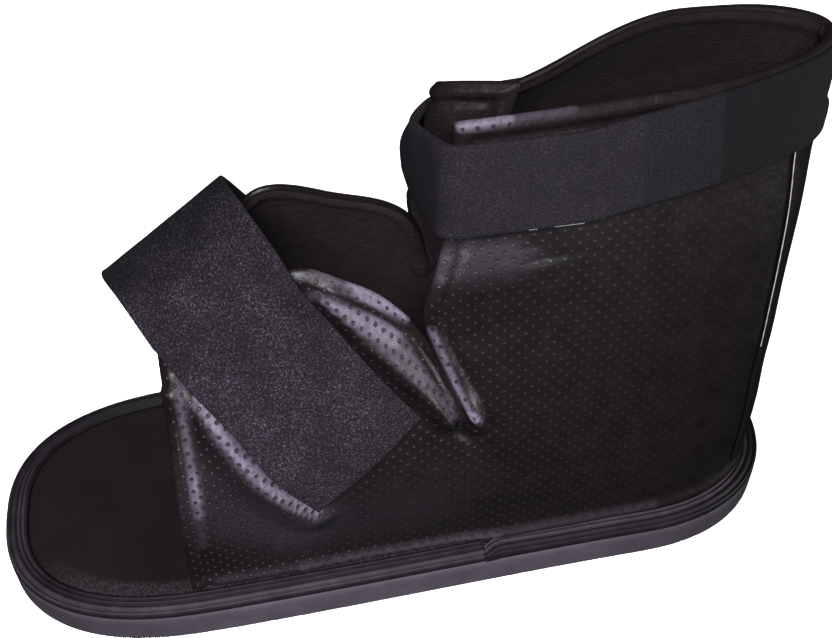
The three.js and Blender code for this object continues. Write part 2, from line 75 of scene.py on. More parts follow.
FOOT_Z = 17.7
LEVEL_KEYS = ("front_x", "front_y", "front_z", "side_x", "side_y", "heel_y", "heel_z", "power", "rise")
LOW_LEVELS = [
    (45.2, 26, FOOT_Z, 44, 82, 136.8, FOOT_Z, 2.3, 1),
    (45.4, 24, 48, 43.8, 82, 137, 50, 2.3, 1),
    (43.4, 21, 76, 41.5, 84, 136.4, 84, 2.25, 1),
]
QUARTER_LEVELS = {
    "lateral": LOW_LEVELS + [
        (34.5, 6, 121, 36, 86, 136.2, 126, 2.2, 1),
        (28.5, 14, 150, 28.5, 90, 136.8, 156, 2.1, 1),
        (18.5, 17.5, 180, 19.5, 95, 138.8, 188, 2, 1),
    ],
    "medial": LOW_LEVELS + [
        (34, 13.5, 119, 36, 86, 136.2, 126, 2.2, 1),
        (27, 20.5, 146, 28.5, 90, 136.8, 156, 2.1, 0.8),
        (15, 32, 169, 19.5, 97, 138.8, 187.5, 2, 0.5),
    ],
}
# A row per rib of the forefoot flap, from the toe end to the slit
RIB_KEYS = ("foot_y", "mid_x", "mid_z", "top_x", "top_y", "top_z")
FLAP_RIBS = {
    "lateral": [
        (-79, 44.8, 62, 20.5, -76.6, 109.5),
        (-57, 44.8, 70, 22, -55, 119),
        (-33, 44.8, 76, 21, -33, 135),
        (-9, 46, 70, 25, -14, 129.2),
        (12, 45.8, 62, 31, 2, 116),
        (26, 45.4, 48, 43.4, 21, 76),
    ],
    "medial": [
        (-69, 45.8, 60, 24, -67, 104),
        (-54, 46.4, 70, 21, -55, 119),
        (-33, 46.4, 76, 19, -39, 138),
        (-9, 46, 70, 25, -13, 128),
        (12, 45.8, 62, 31, 11.5, 111.8),
        (26, 45.4, 48, 43.4, 21, 76),
    ],
}
# A row per height of the inner panel's front flap: its end, its nose and its cheek
WRAP_LEVELS = [
    ((16, 24, 143), (2, 14, 138), (-19, 15, 130)),
    ((17, 28, 155), (2, 12, 153), (-17, 12, 150)),
    ((15, 32, 172), (3, 12, 172), (-10, 17.5, 168)),
    ((12, 37, 187), (1, 16, 183), (-9, 18.5, 177)),
]
WRAP_START_LEVEL = 3
NOTCH_LEVEL = 2
SIDE_SHARE = 0.5
RIB_MIDDLE_SHARE = 0.45
FOOT_INSET = 8.8
SEAM_GAP = 0.25
HEEL_SEAM_Y = 120
HEEL_SEAM_HALF = 1.5
WALL = 2.6
HEM = Sizes(width=4.5, swell=0.9, groove=1.0, groove_at=5.2, groove_width=1.3, drawn_in=0.4)
NOTCH = Sizes(reach=6, edge_round=0.3)
PANEL_WAVES = dict(size=26, height=0.5)
WAVES_SEED = 3
HEEL_FULLNESS = Sizes(out=1.0, start=105, reach=25)
# How the bend below the slit is eased: its reach, rounds, and the share of the height that it fades from
SEAM_EASE = Sizes(reach=26, rounds=120, high=0.8)
BASE_FLARE = Sizes(out=1.8, height=3.2)

# Folds of the outer panel: how far each one's flanks reach, its rise, and its crest line in y and z
CREST_KEYS = ("above", "below", "rise", "line")
FOLDS = [
    # Beside the forefoot strap's front edge
    (5, 13, 4.4, [(-71, 99), (-63, 91.5), (-56, 81), (-50, 70), (-42.5, 57.5), (-36, 50)]),
    # Puffed out behind the strap, falling to the crease along the hem
    (11, 6, 5.5, [(-22, 126), (-14, 115), (-6, 105.5), (1, 97), (7, 89), (12, 81)]),
    # Under the ankle strap's front
    (9, 24, 2.0, [(8, 134), (34, 136)]),
    # At the end of the slit
    (6, 5, 1.6, [(20, 86), (21.5, 81)]),
]
# Painted highlights of the outer panel along lines, where its folds, hems and edges catch the light, in the
# same columns
PAINTED_HIGHLIGHT_LINES = [
    # Beside the forefoot strap
    (2.3, 2.1, 0.95, [(-66.5, 99), (-59.3, 85.5), (-53, 76), (-47.6, 67.5), (-40, 58), (-33, 51.5)]),
    # The quarter's front edge and the end of the slit
    (1.9, 1.9, 0.8, [(7.4, 117), (11.1, 105.8), (14.4, 96), (17.5, 87.9), (20.4, 82.9)]),
    (2.6, 2.6, 1.0, [(19.5, 84.5), (21.5, 81.5)]),
    # The flap's front hem
    (2.3, 2.3, 0.5, [(-72, 101), (-72, 63)]),
    (2.6, 2.6, 0.4, [(-72, 72), (-72.2, 56)]),
    (2.3, 2.3, 0.12, [(-72.5, 62), (-73, 40)]),
    # Under the ankle strap's front
    (5, 14, 0.12, [(13, 143), (32, 141.5)]),
    # The collar's edge
    (1.8, 1.8, 0.2, [(18.5, 179.6), (52, 181.2)]),
    (1.8, 2, 0.62, [(18.5, 179.6), (33, 180.4)]),
    # Along the base
    (2.5, 3, 0.11, [(-70, 19.5), (-40, 19.5)]),
    (2.8, 3, 0.22, [(-40, 19.5), (30, 19.5)]),
    (2.5, 3, 0.11, [(30, 20), (90, 20)]),
    # Over the flap
    (26, 24, 0.08, [(-66, 58), (-44, 42)]),
    (30, 22, 0.05, [(-40, 42), (4, 42)]),
]
# Painted highlights within outlines in y and z: how soft each outline is, how much, and its corners
AREA_KEYS = ("soft", "rise", "corners")
FACET_TOP = [(-27.2, 130.2), (-20.3, 128), (-13.8, 123.3), (-6, 118), (-1, 114.2)]
HEM_END = [(-8, 128), (1.6, 119), (0.8, 117.2), (-5.7, 121.6), (-13.4, 127)]
PAINTED_HIGHLIGHT_AREAS = [
    # The ridge beside the forefoot strap
    (2.5, 0.22, [
        (-68, 100), (-64.8, 88.5), (-59.6, 79.6), (-54.4, 70.7), (-48, 64),
        (-41, 57.5), (-31, 49), (-36, 58), (-45, 71), (-58, 91),
    ]),
    # The puffed face behind the strap, painted as a highlight, paler along its upper edge
    (1.2, 0.26, [
        *FACET_TOP, (2, 108.4), (6.6, 99.6), (11.4, 91.3), (15.3, 83), (13.2, 83.4),
        (6.4, 94), (-0.5, 102.2), (-7.2, 110), (-13.5, 118.1), (-19, 123.2), (-23.4, 126.8),
    ]),
    (1.4, 0.42, [*FACET_TOP, (-3.5, 111), (-8, 113.5), (-14, 118.5), (-19, 123.2), (-24, 127.2)]),
    # Painted highlight on the hem above it, paler towards the slit
    (0.9, 0.3, [(-31.5, 138.5), (-24.8, 136.5), (-16.9, 133), *HEM_END, (-20.9, 132.4), (-28, 135.6)]),
    (2, 0.6, [(-18, 133.5), *HEM_END]),
]

# Straps and backstay

STRAP_WALL = 2.2
STRAP_EDGE_ROUND = 0.4
# How far in from an edge a sheet gives way to the edge's roundness
MARGIN = 8
RIM_STEPS = 5
# Numbers of a thick sheet's parts: its outside, its inside, then the steps round its edge
OUTSIDE, INSIDE, EDGE = 0, 1, 2
PARTS = EDGE + RIM_STEPS
# A row per crossing line of the forefoot strap: a side, or x where it crosses between the flaps
RUNG_KEYS = ("side", "x", "front_y", "front_z", "rear_y", "rear_z")
FOREFOOT_RUNGS = [
    (1, None, -33.5, 53.5, 2.5, 86),
    (1, None, -45, 68.5, -10, 103),
    (1, None, -58, 89, -22, 120),
    (1, None, -70, 102, -31, 132),
    (0, 18, -78.5, 112.6, -38, 144.5),
    (0, 2, -86.5, 116, -45, 149.5),
    (0, -15, -92, 112.3, -48.8, 146.3),
    (-1, None, -81, 92, -40, 126),
    (-1, None, -71, 74, -30, 108),
    (-1, None, -61, 56, -20, 89),
    (-1, None, -51, 38, -10, 70),
]
FOREFOOT_GAP = 0.9
FOREFOOT_ROUNDS = 30
FLAP_FRONT = {1: -72, -1: -66}
ANKLE = Sizes(
    width=29, low=141, lean=0.25, climb=0.185, climb_start=54, front_y=2, gap=0.8, front_ease=0.5, rounds=3,
)
# Its fastened end lies over its band as far back as y on the outer side, and thins out on the inner side
ANKLE_END = Sizes(y=96, rise=0.9, edge=1.2, inner_y=60, inner_reach=70)
# Lengths of its lower edge, along y, where pale threads show
FRAYED = [(37.5, 40), (44.5, 54)]
BACKSTAY = Sizes(
    low=24, under_strap=8, strap_z=165, bridge=3, centre_y=96, low_angle=50, high_angle=35.5, narrowing=2.2,
    wall=1.0, gap=0.45, edge_round=0.6,
)
PALE_EDGE = Sizes(low=82, high=168)
# A distance out beyond every surface
FAR = 300

# How many steps each shape is divided into
STEPS = Sizes(
    sole_round=40, sole_side=40, profile=5, slab_top=11, rib=8,
    flap=72, quarter=124, wrap=40, low_rows=66, high_rows=72,
    forefoot=130, forefoot_line=299, forefoot_rows=34,
    ankle=260, ankle_turns=720, ankle_rows=18, backstay=48, backstay_rows=90,
)

# Camera of the photograph in millimetres, then its light in metres

CAMERA = Sizes(place=(295.0, -49.6, 375.7), azimuth=78.66, elevation=43.72, lens=51.92, sensor=36, near=10)
LIGHTS = [
    dict(
        name="key", place=(0.66, -0.17, 0.78), target=(0.0, 0.01, 0.088),
        size=0.4, power=13.0, colour=(0.98, 0.95, 1.0),
    ),
    dict(
        name="fill", place=(-0.80, 0.32, 0.15), target=(0.0, 0.02, 0.09),
        size=0.5, power=9.0, colour=(0.97, 0.96, 1.0), gloss=False,
    ),
    dict(
        name="gloss", place=(0.42, 0.98, 0.40), target=(0.0, 0.0, 0.09),
        size=0.5, power=12.0, colour=(0.95, 0.93, 1.0), lights_cloth=False,
    ),
]
BACKDROP = Sizes(strength=3.5, spread=90)
ROOM_STRENGTH = 0.15
WHITE = (1.0, 1.0, 1.0, 1)
FLOOR_HALF = 20.0


# Curves and grids of points

def lerp(a, b, share):
    return a + (b - a) * share


def smoothstep(share):
    share = np.clip(share, 0, 1)
    return share * share * (3 - 2 * share)


def rows_of(keys, table):
    return [Sizes(**dict(zip(keys, row))) for row in table]


def through(points, shares):
    """Points at shares from 0 to 1 of the smooth curve through a first axis of points."""
    points = np.asarray(points, float)
    ends = 2 * points[[0, -1]] - points[[1, -2]]
    line = np.concatenate([ends[:1], points, ends[1:]])
    place = np.clip(np.asarray(shares, float), 0, 1) * (len(points) - 1)
    start = np.minimum(place.astype(int), len(points) - 2)
    p0, p1, p2, p3 = (line[start + k] for k in range(4))

    def span(a, b):
        return np.sqrt(np.maximum(np.linalg.norm(b - a, axis=-1, keepdims=True), 1e-6))

    d0, d1, d2 = span(p0, p1), span(p1, p2), span(p2, p3)
    t1 = ((p1 - p0) / d0 - (p2 - p0) / (d0 + d1) + (p2 - p1) / d1) * d1
    t2 = ((p2 - p1) / d1 - (p3 - p1) / (d1 + d2) + (p3 - p2) / d2) * d1
    s = (place - start).reshape((-1,) + (1,) * (points.ndim - 1))
    square = (3 * (p2 - p1) - 2 * t1 - t2) * s ** 2
    return p1 + t1 * s + square + (2 * (p1 - p2) + t1 + t2) * s ** 3


def distance_to(lines, points):
    """Distance of each point from the nearest of some polylines."""
    nearest = np.full(len(points), np.inf)
    for line in lines:
        for a, b in zip(line[:-1], line[1:]):
            along = b - a
            share = np.clip((points - a) @ along / max(along @ along, 1e-9), 0, 1)
            gap = np.linalg.norm(points - a - share[:, None] * along, axis=1)
            nearest = np.minimum(nearest, gap)
    return nearest


def run_lengths(points):
    """Length along the first axis of points, from its start."""
    steps = np.linalg.norm(np.diff(points, axis=0), axis=-1)
    return np.concatenate([np.zeros((1,) + steps.shape[1:]), np.cumsum(steps, axis=0)])


def resample(line, count):
    """Evenly spaced points along a polyline."""
    lengths = run_lengths(line)
    places = np.linspace(0, lengths[-1], count)
    return np.stack([np.interp(places, lengths, line[:, k]) for k in range(line.shape[1])], axis=1)


# Sheets of quads, thickened to closed bodies with round edges

class Sheet:
    """Grids of points joined along shared points."""

    def __init__(self):
        self.points = np.zeros((0, 3))
        self.uv = np.zeros((0, 2))
        self.quads = []

    def add_points(self, points, uv):
        start = len(self.points)
        self.points = np.concatenate([self.points, points.reshape(-1, 3)])
        self.uv = np.concatenate([self.uv, uv.reshape(-1, 2)])
        return np.arange(start, len(self.points)).reshape(points.shape[:-1])

    def add_quads(self, index, flip=False, wrap=False):
        if wrap:
            index = np.concatenate([index, index[:1]])
        corners = [index[:-1, :-1], index[1:, :-1], index[1:, 1:], index[:-1, 1:]]
        quads = np.stack(corners, axis=-1).reshape(-1, 4)
        self.quads += (quads[:, ::-1] if flip else quads).tolist()

    def normals(self):
        quads = np.array(self.quads)
        corner = self.points[quads]
        face = np.cross(corner[:, 2] - corner[:, 0], corner[:, 3] - corner[:, 1])
        total = np.zeros_like(self.points)
        for k in range(4):
            np.add.at(total, quads[:, k], face)
        return total / np.maximum(np.linalg.norm(total, axis=1, keepdims=True), 1e-9)

    def border(self):
        quads = np.array(self.quads)
        edges = np.concatenate([quads[:, [k, (k + 1) % 4]] for k in range(4)])
        count = len(self.points)
        keys = edges[:, 0] * count + edges[:, 1]
        back = edges[:, 1] * count + edges[:, 0]
        return edges[~np.isin(keys, back)]


def thicken(sheet, outward, wall, roll, drawn_in=1.0, settle=None):
    """Points, faces, uv and a part number per face, with a round edge.

    The margin is drawn in by a share of the edge's own roundness, all of which keeps the sheet's outline.
    """
    normal = sheet.normals()
    border = sheet.border()
    side = np.zeros_like(normal)
    along = sheet.points[border[:, 1]] - sheet.points[border[:, 0]]
    for k in range(2):
        np.add.at(side, border[:, k], np.cross(along, normal[border[:, k]]))
    side /= np.maximum(np.linalg.norm(side, axis=1, keepdims=True), 1e-9)
    rim = np.unique(border)
    tree = KDTree(len(rim))
    for i, point in enumerate(sheet.points[rim]):
        tree.insert(point, i)
    tree.balance()
    nearest = [tree.find(point)[1:] for point in sheet.points]
    near = rim[[index for index, away in nearest]]
    share = 1 - smoothstep(np.array([away for index, away in nearest]) / MARGIN)
    drawn = sheet.points - side[near] * (drawn_in * roll * wall / 2)[near, None] * share[:, None]
    outer = drawn + normal * outward[:, None]
    inner = outer - normal * wall[:, None]
    if settle:
        outer, inner = settle(outer), settle(inner)
    place = np.full(len(outer), -1)
    place[rim] = np.arange(len(rim))
    half = (wall[rim] / 2)[:, None]
    middle = (outer[rim] + inner[rim]) / 2
    rings = []
    for k in range(1, RIM_STEPS):
        turn = math.pi * k / RIM_STEPS
        swing = (outer[rim] - inner[rim]) / 2 * math.cos(turn)
        rings.append(middle + swing + side[rim] * half * roll[rim, None] * math.sin(turn))
    count = len(outer)
    points = np.concatenate([outer, inner, *rings])
    uv = np.concatenate([sheet.uv, sheet.uv] + [sheet.uv[rim]] * len(rings))
    levels = [np.arange(count)]
    levels += [2 * count + k * len(rim) + place for k in range(len(rings))]
    levels.append(np.arange(count) + count)
    faces = list(sheet.quads)
    faces += [[i + count for i in reversed(quad)] for quad in sheet.quads]
    parts = [OUTSIDE] * len(sheet.quads) + [INSIDE] * len(sheet.quads)
    a, b = border[:, 0], border[:, 1]
    for ring, (low, high) in enumerate(zip(levels[:-1], levels[1:])):
        strip = np.stack([low[b], low[a], high[a], high[b]], axis=1)
        faces += strip.tolist()
        parts += [EDGE + ring] * len(strip)
    return points, faces, uv, parts


def cloth(grid, run, width, **joins):
    """A sheet of one grid, whose uv are lengths along it and across it."""
    sheet = Sheet()
    uv = np.stack(np.broadcast_arrays(run[:, None], width[None]), axis=-1)
    sheet.add_quads(sheet.add_points(grid, uv), **joins)
    return sheet


def middles_of(points, faces):
    return np.array([points[face].mean(axis=0) for face in faces])


def add_object(name, data):
    made = bpy.data.objects.new(name, data)
    bpy.context.scene.collection.objects.link(made)
    return made


def aim(made, place, direction):
    made.location = place
    made.rotation_mode = "QUATERNION"
    made.rotation_quaternion = direction.to_track_quat("-Z", "Y")


def add_piece(name, points, faces, materials, parts=None, uv=None):
    """A smooth mesh piece, in metres, that rides on the one body."""
    mesh = bpy.data.meshes.new(name)
    mesh.from_pydata((np.asarray(points) * MM).tolist(), [], faces)
    for material in materials:
        mesh.materials.append(material)
    mesh.polygons.foreach_set("use_smooth", [True] * len(mesh.polygons))
    if parts is not None:
        mesh.polygons.foreach_set("material_index", parts)
    if uv is not None:
        corners = np.zeros(len(mesh.loops), np.int32)
        mesh.loops.foreach_get("vertex_index", corners)
        layer = mesh.uv_layers.new(name="cloth")
        layer.data.foreach_set("uv", np.asarray(uv, np.float32)[corners].ravel())
    mesh.update()
    piece = add_object(name, mesh)
    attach(piece, "root")
    return piece


def write_values(piece, name, values):
    """A value per point of a piece, for its material to read."""
    layer = piece.data.attributes.new(name, "FLOAT", "POINT")
    layer.data.foreach_set("value", np.asarray(values, np.float32))


# Materials

class Look:
    """A node material with a Principled shader, whose uv are millimetres of cloth."""

    def __init__(self, name, **settings):
        self.material = bpy.data.materials.new(name)
        self.material.use_nodes = True
        self.tree = self.material.node_tree
        self.shader = self.tree.nodes["Principled BSDF"]
        for key, value in settings.items():
            self.shader.inputs[key.replace("_", " ")].default_value = value
        # Place on the object, in millimetres
        self.spot = self.scaled(self.node("TexCoord").outputs["Object"], 1 / MM)
        self.x, self.y, self.z = self.node("SeparateXYZ", {"Vector": self.spot}).outputs

    def node(self, kind, inputs=(), **settings):
        made = self.tree.nodes.new(f"ShaderNode{kind}")
        for key, value in settings.items():
            setattr(made, key, value)
        for key, value in dict(inputs).items():
            if isinstance(value, bpy.types.NodeSocket):
                self.tree.links.new(value, made.inputs[key])
            else:
                made.inputs[key].default_value = value
        return made

    def wire(self, socket, name):
        self.tree.links.new(socket, self.shader.inputs[name])

    def math(self, operation, a, b):
        return self.node("Math", {0: a, 1: b}, operation=operation).outputs[0]

    def product(self, a, b):
        return self.math("MULTIPLY", a, b)

    def vector(self, operation, a, b=(0, 0, 0), output="Vector"):
        return self.node("VectorMath", {0: a, 1: b}, operation=operation).outputs[output]

    def scaled(self, vector, factor):
        return self.node("VectorMath", {0: vector, "Scale": factor}, operation="SCALE").outputs["Vector"]

    def between(self, value, start, end, low=0.0, high=1.0):
        """Goes evenly from low to high as a value goes from its start to its end."""
        inputs = {"Value": value, "From Min": start, "From Max": end, "To Min": low, "To Max": high}
        return self.node("MapRange", inputs).outputs["Result"]

    def mix(self, share, a, b, blend="MIX"):
        inputs = {"Factor": share, "A": a, "B": b}
        return self.node("Mix", inputs, data_type="RGBA", blend_type=blend).outputs["Result"]

    def uv(self):
        return self.node("UVMap", uv_map="cloth").outputs["UV"]

    def stored(self, name):
        """A value that the points of the piece carry."""
        return self.node("Attribute", attribute_name=name).outputs["Fac"]

    def grain(self, scale, detail, roughness=0.55):
        inputs = {"Vector": self.spot, "Scale": scale, "Detail": detail, "Roughness": roughness}
        return self.node("TexNoise", inputs).outputs["Fac"]

    def cells(self, scale, feature="F1"):
        inputs = {"Vector": self.spot, "Scale": scale}
        return self.node("TexVoronoi", inputs, feature=feature).outputs["Distance"]

    def ramp(self, value, stops, interpolation="LINEAR"):
        made = self.node("ValToRGB", {"Fac": value})
        elements = made.color_ramp.elements
        made.color_ramp.interpolation = interpolation
        while len(elements) < len(stops):
            elements.new(0.5)
        for element, (position, colour) in zip(elements, stops):
            element.position = position
            element.color = (*colour, 1) if isinstance(colour, tuple) else (colour, colour, colour, 1)
        return made.outputs["Color"]

    def mottled(self, scale, detail, colours):
        """A colour that wanders between two, in patches."""
        return self.ramp(self.grain(scale, detail), list(zip(MOTTLE_STOPS, colours)))

    def fade(self, colour, value, stops):
        """A colour made darker by places along a value, in millimetres: painted shade."""
        low, high = stops[0][0], stops[-1][0]
        shares = [((place - low) / (high - low), tone) for place, tone in stops]
        return self.mix(1.0, colour, self.ramp(self.between(value, low, high), shares), "MULTIPLY")

    def bump(self, layers):
        """Bumps laid over each other: a height and its depth in millimetres."""
        normal = None
        for height, depth in layers:
            inputs = {"Height": height, "Strength": 1.0, "Distance": depth * MM}
            if normal:
                inputs["Normal"] = normal
            normal = self.node("Bump", inputs).outputs["Normal"]
        self.wire(normal, "Normal")


# Where patches of a mottled surface are darkest and lightest
MOTTLE_STOPS = (0.3, 0.7)
VINYL_COLOURS = [(0.0090, 0.0070, 0.0075), (0.0130, 0.0103, 0.0108)]
LINING_COLOURS = [(0.0145, 0.0116, 0.0120), (0.0215, 0.0174, 0.0181)]
FOAM_COLOURS = [(0.078, 0.066, 0.086), (0.108, 0.094, 0.120)]
WELT_COLOURS = [(0.0440, 0.0350, 0.0455), (0.0800, 0.0650, 0.0830)]
FOOTBED_COLOURS = [(0.0094, 0.0076, 0.0079), (0.0131, 0.0107, 0.0112)]
FLOOR_COLOURS = [0.9, 0.94]
# Depths, tops and flecks of the straps' loops; the flecks are painted glints
INSTEP_COLOURS = [(0.0100, 0.0078, 0.0110), (0.0280, 0.0225, 0.0318), (0.165, 0.145, 0.187)]
ANKLE_COLOURS = [(0.0137, 0.0111, 0.0155), (0.0205, 0.0166, 0.0236), (0.052, 0.044, 0.062)]
LOOP_STOPS = (0.38, 0.54, 0.66)
LOOP_SHARE = 0.85
# Painted highlight where the outer panel's folds, hems and edges catch the light
PAINTED_HIGHLIGHT_COLOUR = (0.270, 0.238, 0.320, 1)
# Painted glint in the vinyl's dots
PAINTED_DOT_GLINT_COLOUR = (0.046, 0.041, 0.050, 1)
# Painted sheen on the footbed's toe rim
PAINTED_SHEEN_COLOUR = (0.042, 0.038, 0.044, 1)
CUT_EDGE_COLOUR = (0.62, 0.58, 0.68)
CUT_EDGE_SHADE = 0.55

# Dots of the vinyl, by the distance from a dot's middle: its painted glint, its hollow, and painted
# highlight kept out of it
DOT_PITCH = 4.7
DOT_DEPTH = 0.25
DOT_PAINTED_GLINT = [(0.32, 1.0), (0.67, 0.0)]
DOT_HOLLOW = [(0.0, 1.0), (0.3, 0.95), (0.68, 0.0), (0.95, 0.14), (1.0, 0.2)]
DOT_UNHIGHLIGHTED = [(0.55, 0.12), (0.95, 1.0)]
# Their painted glint and their hollows show less and less along the shoe towards the heel
DOT_STRETCH = (-60.0, 100.0)
DOT_SHOWN = [(0.0, 1.0), (0.25, 0.68), (0.59, 0.46), (0.85, 0.29), (1.0, 0.12)]
# Heights above the ankle strap, and lengths towards the heel, over which the vinyl goes dull
DULL_TOP = (150.0, 168.0)
DULL_HEEL = (55.0, 105.0)
# Less gloss where the highlight is painted, and patches within the painted highlight
HIGHLIGHT_GLOSS = [(0.0, 1.0), (0.25, 0.4), (1.0, 0.55)]
HIGHLIGHT_PATCHES = [(0.3, 0.5), (0.62, 1.0)]
# Heights over which the lining's painted light goes from paler low down to darker up high
LINING_PAINTED_LIGHT_HEIGHTS = (115.0, 165.0)

# Painted shade on the instep strap, darker towards the crease where it goes over to the inner side, away
# from the light
INSTEP_PAINTED_SHADE = [(-10, 0.35), (6.5, 0.38), (9.5, 0.48), (16, 0.52), (28, 0.78), (41, 0.86), (51, 1.0)]
INSTEP_SHADE_WAY = (1, -0.154, 0)
# Painted shade on the ankle strap, darker round its front where it turns from the light, and darker by
# steps towards the heel as it turns away; the last step also marks where its fastened end stops
ANKLE_PAINTED_SHADE = [
    (8, 0.7), (10.2, 0.75), (11.5, 1.0), (45, 1.0), (71.5, 0.85), (73, 0.68),
    (95.5, 0.58), (96.5, 0.22), (140, 0.2),
]
ANKLE_SHADE_WAY = (0, 1, 0)
# The inner side has an even painted shade instead, taking over across x
ANKLE_INNER_SHADE = 0.75
INNER_SHADE_END = (-8.0, 8.0)

# Painted shade along the sole, and along and across the welt, darker where the light falls off towards the
# toe, the heel and the far side
SOLE_PAINTED_SHADE = [(-146, 0.68), (-105, 0.76), (-70, 1.0), (45, 1.0), (85, 0.74), (115, 0.66), (142, 0.42)]
WELT_PAINTED_SHADE_ALONG = [(-146, 0.9), (-100, 1.0), (90, 1.0), (140, 0.35)]
WELT_PAINTED_SHADE_ACROSS = [(-52, 0.2), (-30, 0.45), (-5, 0.85), (40, 1.0)]
# Painted light on each strip of welt by the inset from its outer edge: pale painted highlights where its
# ribs' crests catch the light, painted shade between them
FRONT_RIB_PAINTED_LIGHT = [
    (0, 0.3), (0.35, 0.5), (0.75, 1.0), (1.3, 0.9), (1.5, 0.4), (2.0, 0.75), (2.75, 0.8), (3.5, 0.4),
    (3.95, 0.2), (4.8, 0.4), (5.6, 0.16), (6.35, 0.4), (7.1, 0.16), (7.8, 0.16),
]
RIB_INSETS = (0, 0.75, 1.5, 2.75, 3.9, 4.5, 4.8, 5.1, 5.6, 6.1, 6.35, 6.6, 7.1, 7.8)
REAR_RIB_SHADES = (0.26, 0.34, 0.16, 0.34, 0.16, 0.8, 1.0, 0.8, 0.2, 0.8, 1.0, 0.8, 0.2, 0.2)
TOE_RIB_SHADES = (0.4, 0.6, 0.35, 0.6, 0.35, 0.85, 1.0, 0.85, 0.3, 0.85, 1.0, 0.85, 0.3, 0.3)
REAR_RIB_PAINTED_LIGHT = list(zip(RIB_INSETS, REAR_RIB_SHADES))
TOE_RIB_PAINTED_LIGHT = list(zip(RIB_INSETS, TOE_RIB_SHADES))
# Where, across the shoe, the ribs go over to their painted light on the inner side
RIB_TURN = (5.0, 32.0)

# Outline of the toe whose outer rim has a painted speckled sheen, and how near to it the painted sheen
# shows
TOE_RIM = Sizes(half=45.6, start=-70.5, length=66.7, power=2.5)
RIM_SHEEN = [(0.74, 0.0), (0.86, 1.0), (0.97, 0.7)]
RIM_SIDE = (22.0, 36.0)
RIM_SPECKLE = [(0.42, 0.1), (0.62, 1.0)]


def dot_distance(look, spot):
    """Distance in millimetres from the nearest of staggered rows of dots."""
    nearest = None
    for shift in (0.0, 0.5):
        moved = look.vector("ADD", look.scaled(spot, 1 / DOT_PITCH), (shift, shift, 0))
        centred = look.vector("SUBTRACT", look.vector("FRACTION", moved), (0.5, 0.5, 0))
        length = look.vector("LENGTH", look.vector("MULTIPLY", centred, (1, 1, 0)), output="Value")
        nearest = length if nearest is None else look.math("MINIMUM", nearest, length)
    return look.product(nearest, DOT_PITCH)


def vinyl_look(name, dotted=True):
    """Embossed vinyl with painted highlights where the piece says so, duller above the ankle strap and at
    the heel.
    """
    look = Look(name)
    base = look.mottled(scale=0.12, detail=2, colours=VINYL_COLOURS)
    # Painted highlights where the outer panel's folds, hems and edges catch the light, kept out of the dots
    highlight_share = look.stored("painted_highlight")
    patchy_highlight = look.product(highlight_share, look.ramp(look.grain(scale=0.6, detail=4), HIGHLIGHT_PATCHES))
    creases = look.cells(scale=1.6, feature="DISTANCE_TO_EDGE")
    bumps = [(look.grain(scale=0.16, detail=2), 0.5), (creases, 0.035)]
    if dotted:
        away = dot_distance(look, look.uv())
        patchy_highlight = look.product(patchy_highlight, look.ramp(away, DOT_UNHIGHLIGHTED))
    base = look.mix(patchy_highlight, base, PAINTED_HIGHLIGHT_COLOUR)
    if dotted:
        # Painted glint in each dot, fading towards the heel and above the ankle strap
        shown = look.ramp(look.between(look.y, *DOT_STRETCH), DOT_SHOWN)
        shown = look.product(shown, look.between(look.z, *DULL_TOP, low=1.0, high=0.3))
        base = look.mix(look.product(look.ramp(away, DOT_PAINTED_GLINT), shown), base, PAINTED_DOT_GLINT_COLOUR)
        bumps.append((look.product(look.ramp(away, DOT_HOLLOW, "EASE"), shown), -DOT_DEPTH))
    look.wire(base, "Base Color")
    gloss = look.between(look.z, *DULL_TOP, low=0.4, high=0.1)
    gloss = look.product(gloss, look.between(look.y, *DULL_HEEL, low=1.0, high=0.4))
    look.wire(look.product(gloss, look.ramp(highlight_share, HIGHLIGHT_GLOSS)), "Specular IOR Level")
    uneven = look.grain(scale=0.35, detail=3)
    look.wire(look.between(uneven, 0.0, 1.0, low=0.36, high=0.5), "Roughness")
    look.bump(bumps)
    return look.material


def lining_look():
    """Black cloth with painted light, paler low down in the shoe where more light falls in."""
    look = Look("lining", Roughness=0.95, Specular_IOR_Level=0.1)
    look.spot = look.uv()
    colour = look.mottled(scale=0.2, detail=4, colours=LINING_COLOURS)
    # Painted light: paler low down, darker up high
    shade = look.between(look.z, *LINING_PAINTED_LIGHT_HEIGHTS, low=1.8, high=0.85)
    look.wire(look.scaled(colour, shade), "Base Color")
    look.bump([(look.cells(scale=1.1), 0.25), (look.grain(scale=1.8, detail=2), 0.12)])
    return look.material


def pile_look(name, colours, shade_way, shade_stops, inner_shade=None):
    """Loop pile: curled loops of about half a millimetre, some of which catch the light as painted glints.

    Painted shade darkens the pile by places along a way, in millimetres. On the inner
    side it may be an even painted shade instead.
    """
    look = Look(name, Roughness=0.9, Specular_IOR_Level=0.2)
    loops = look.grain(scale=1.6, detail=3, roughness=0.75)
    patches = look.grain(scale=0.09, detail=2)
    tone = look.math("ADD", look.product(loops, LOOP_SHARE), look.product(patches, 1 - LOOP_SHARE))
    colour = look.ramp(tone, list(zip(LOOP_STOPS, colours)))
    # Painted shade by places along a way, and an even painted shade on the inner side
    shaded = look.fade(colour, look.vector("DOT_PRODUCT", look.spot, shade_way, output="Value"), shade_stops)
    if inner_shade:
        outer = look.between(look.x, *INNER_SHADE_END)
        shaded = look.mix(outer, look.scaled(colour, inner_shade), shaded)
    look.wire(shaded, "Base Color")
    dents = look.grain(scale=0.06, detail=2)
    look.bump([(dents, 0.5), (loops, 0.6), (look.cells(scale=1.5), 0.25)])
    return look.material


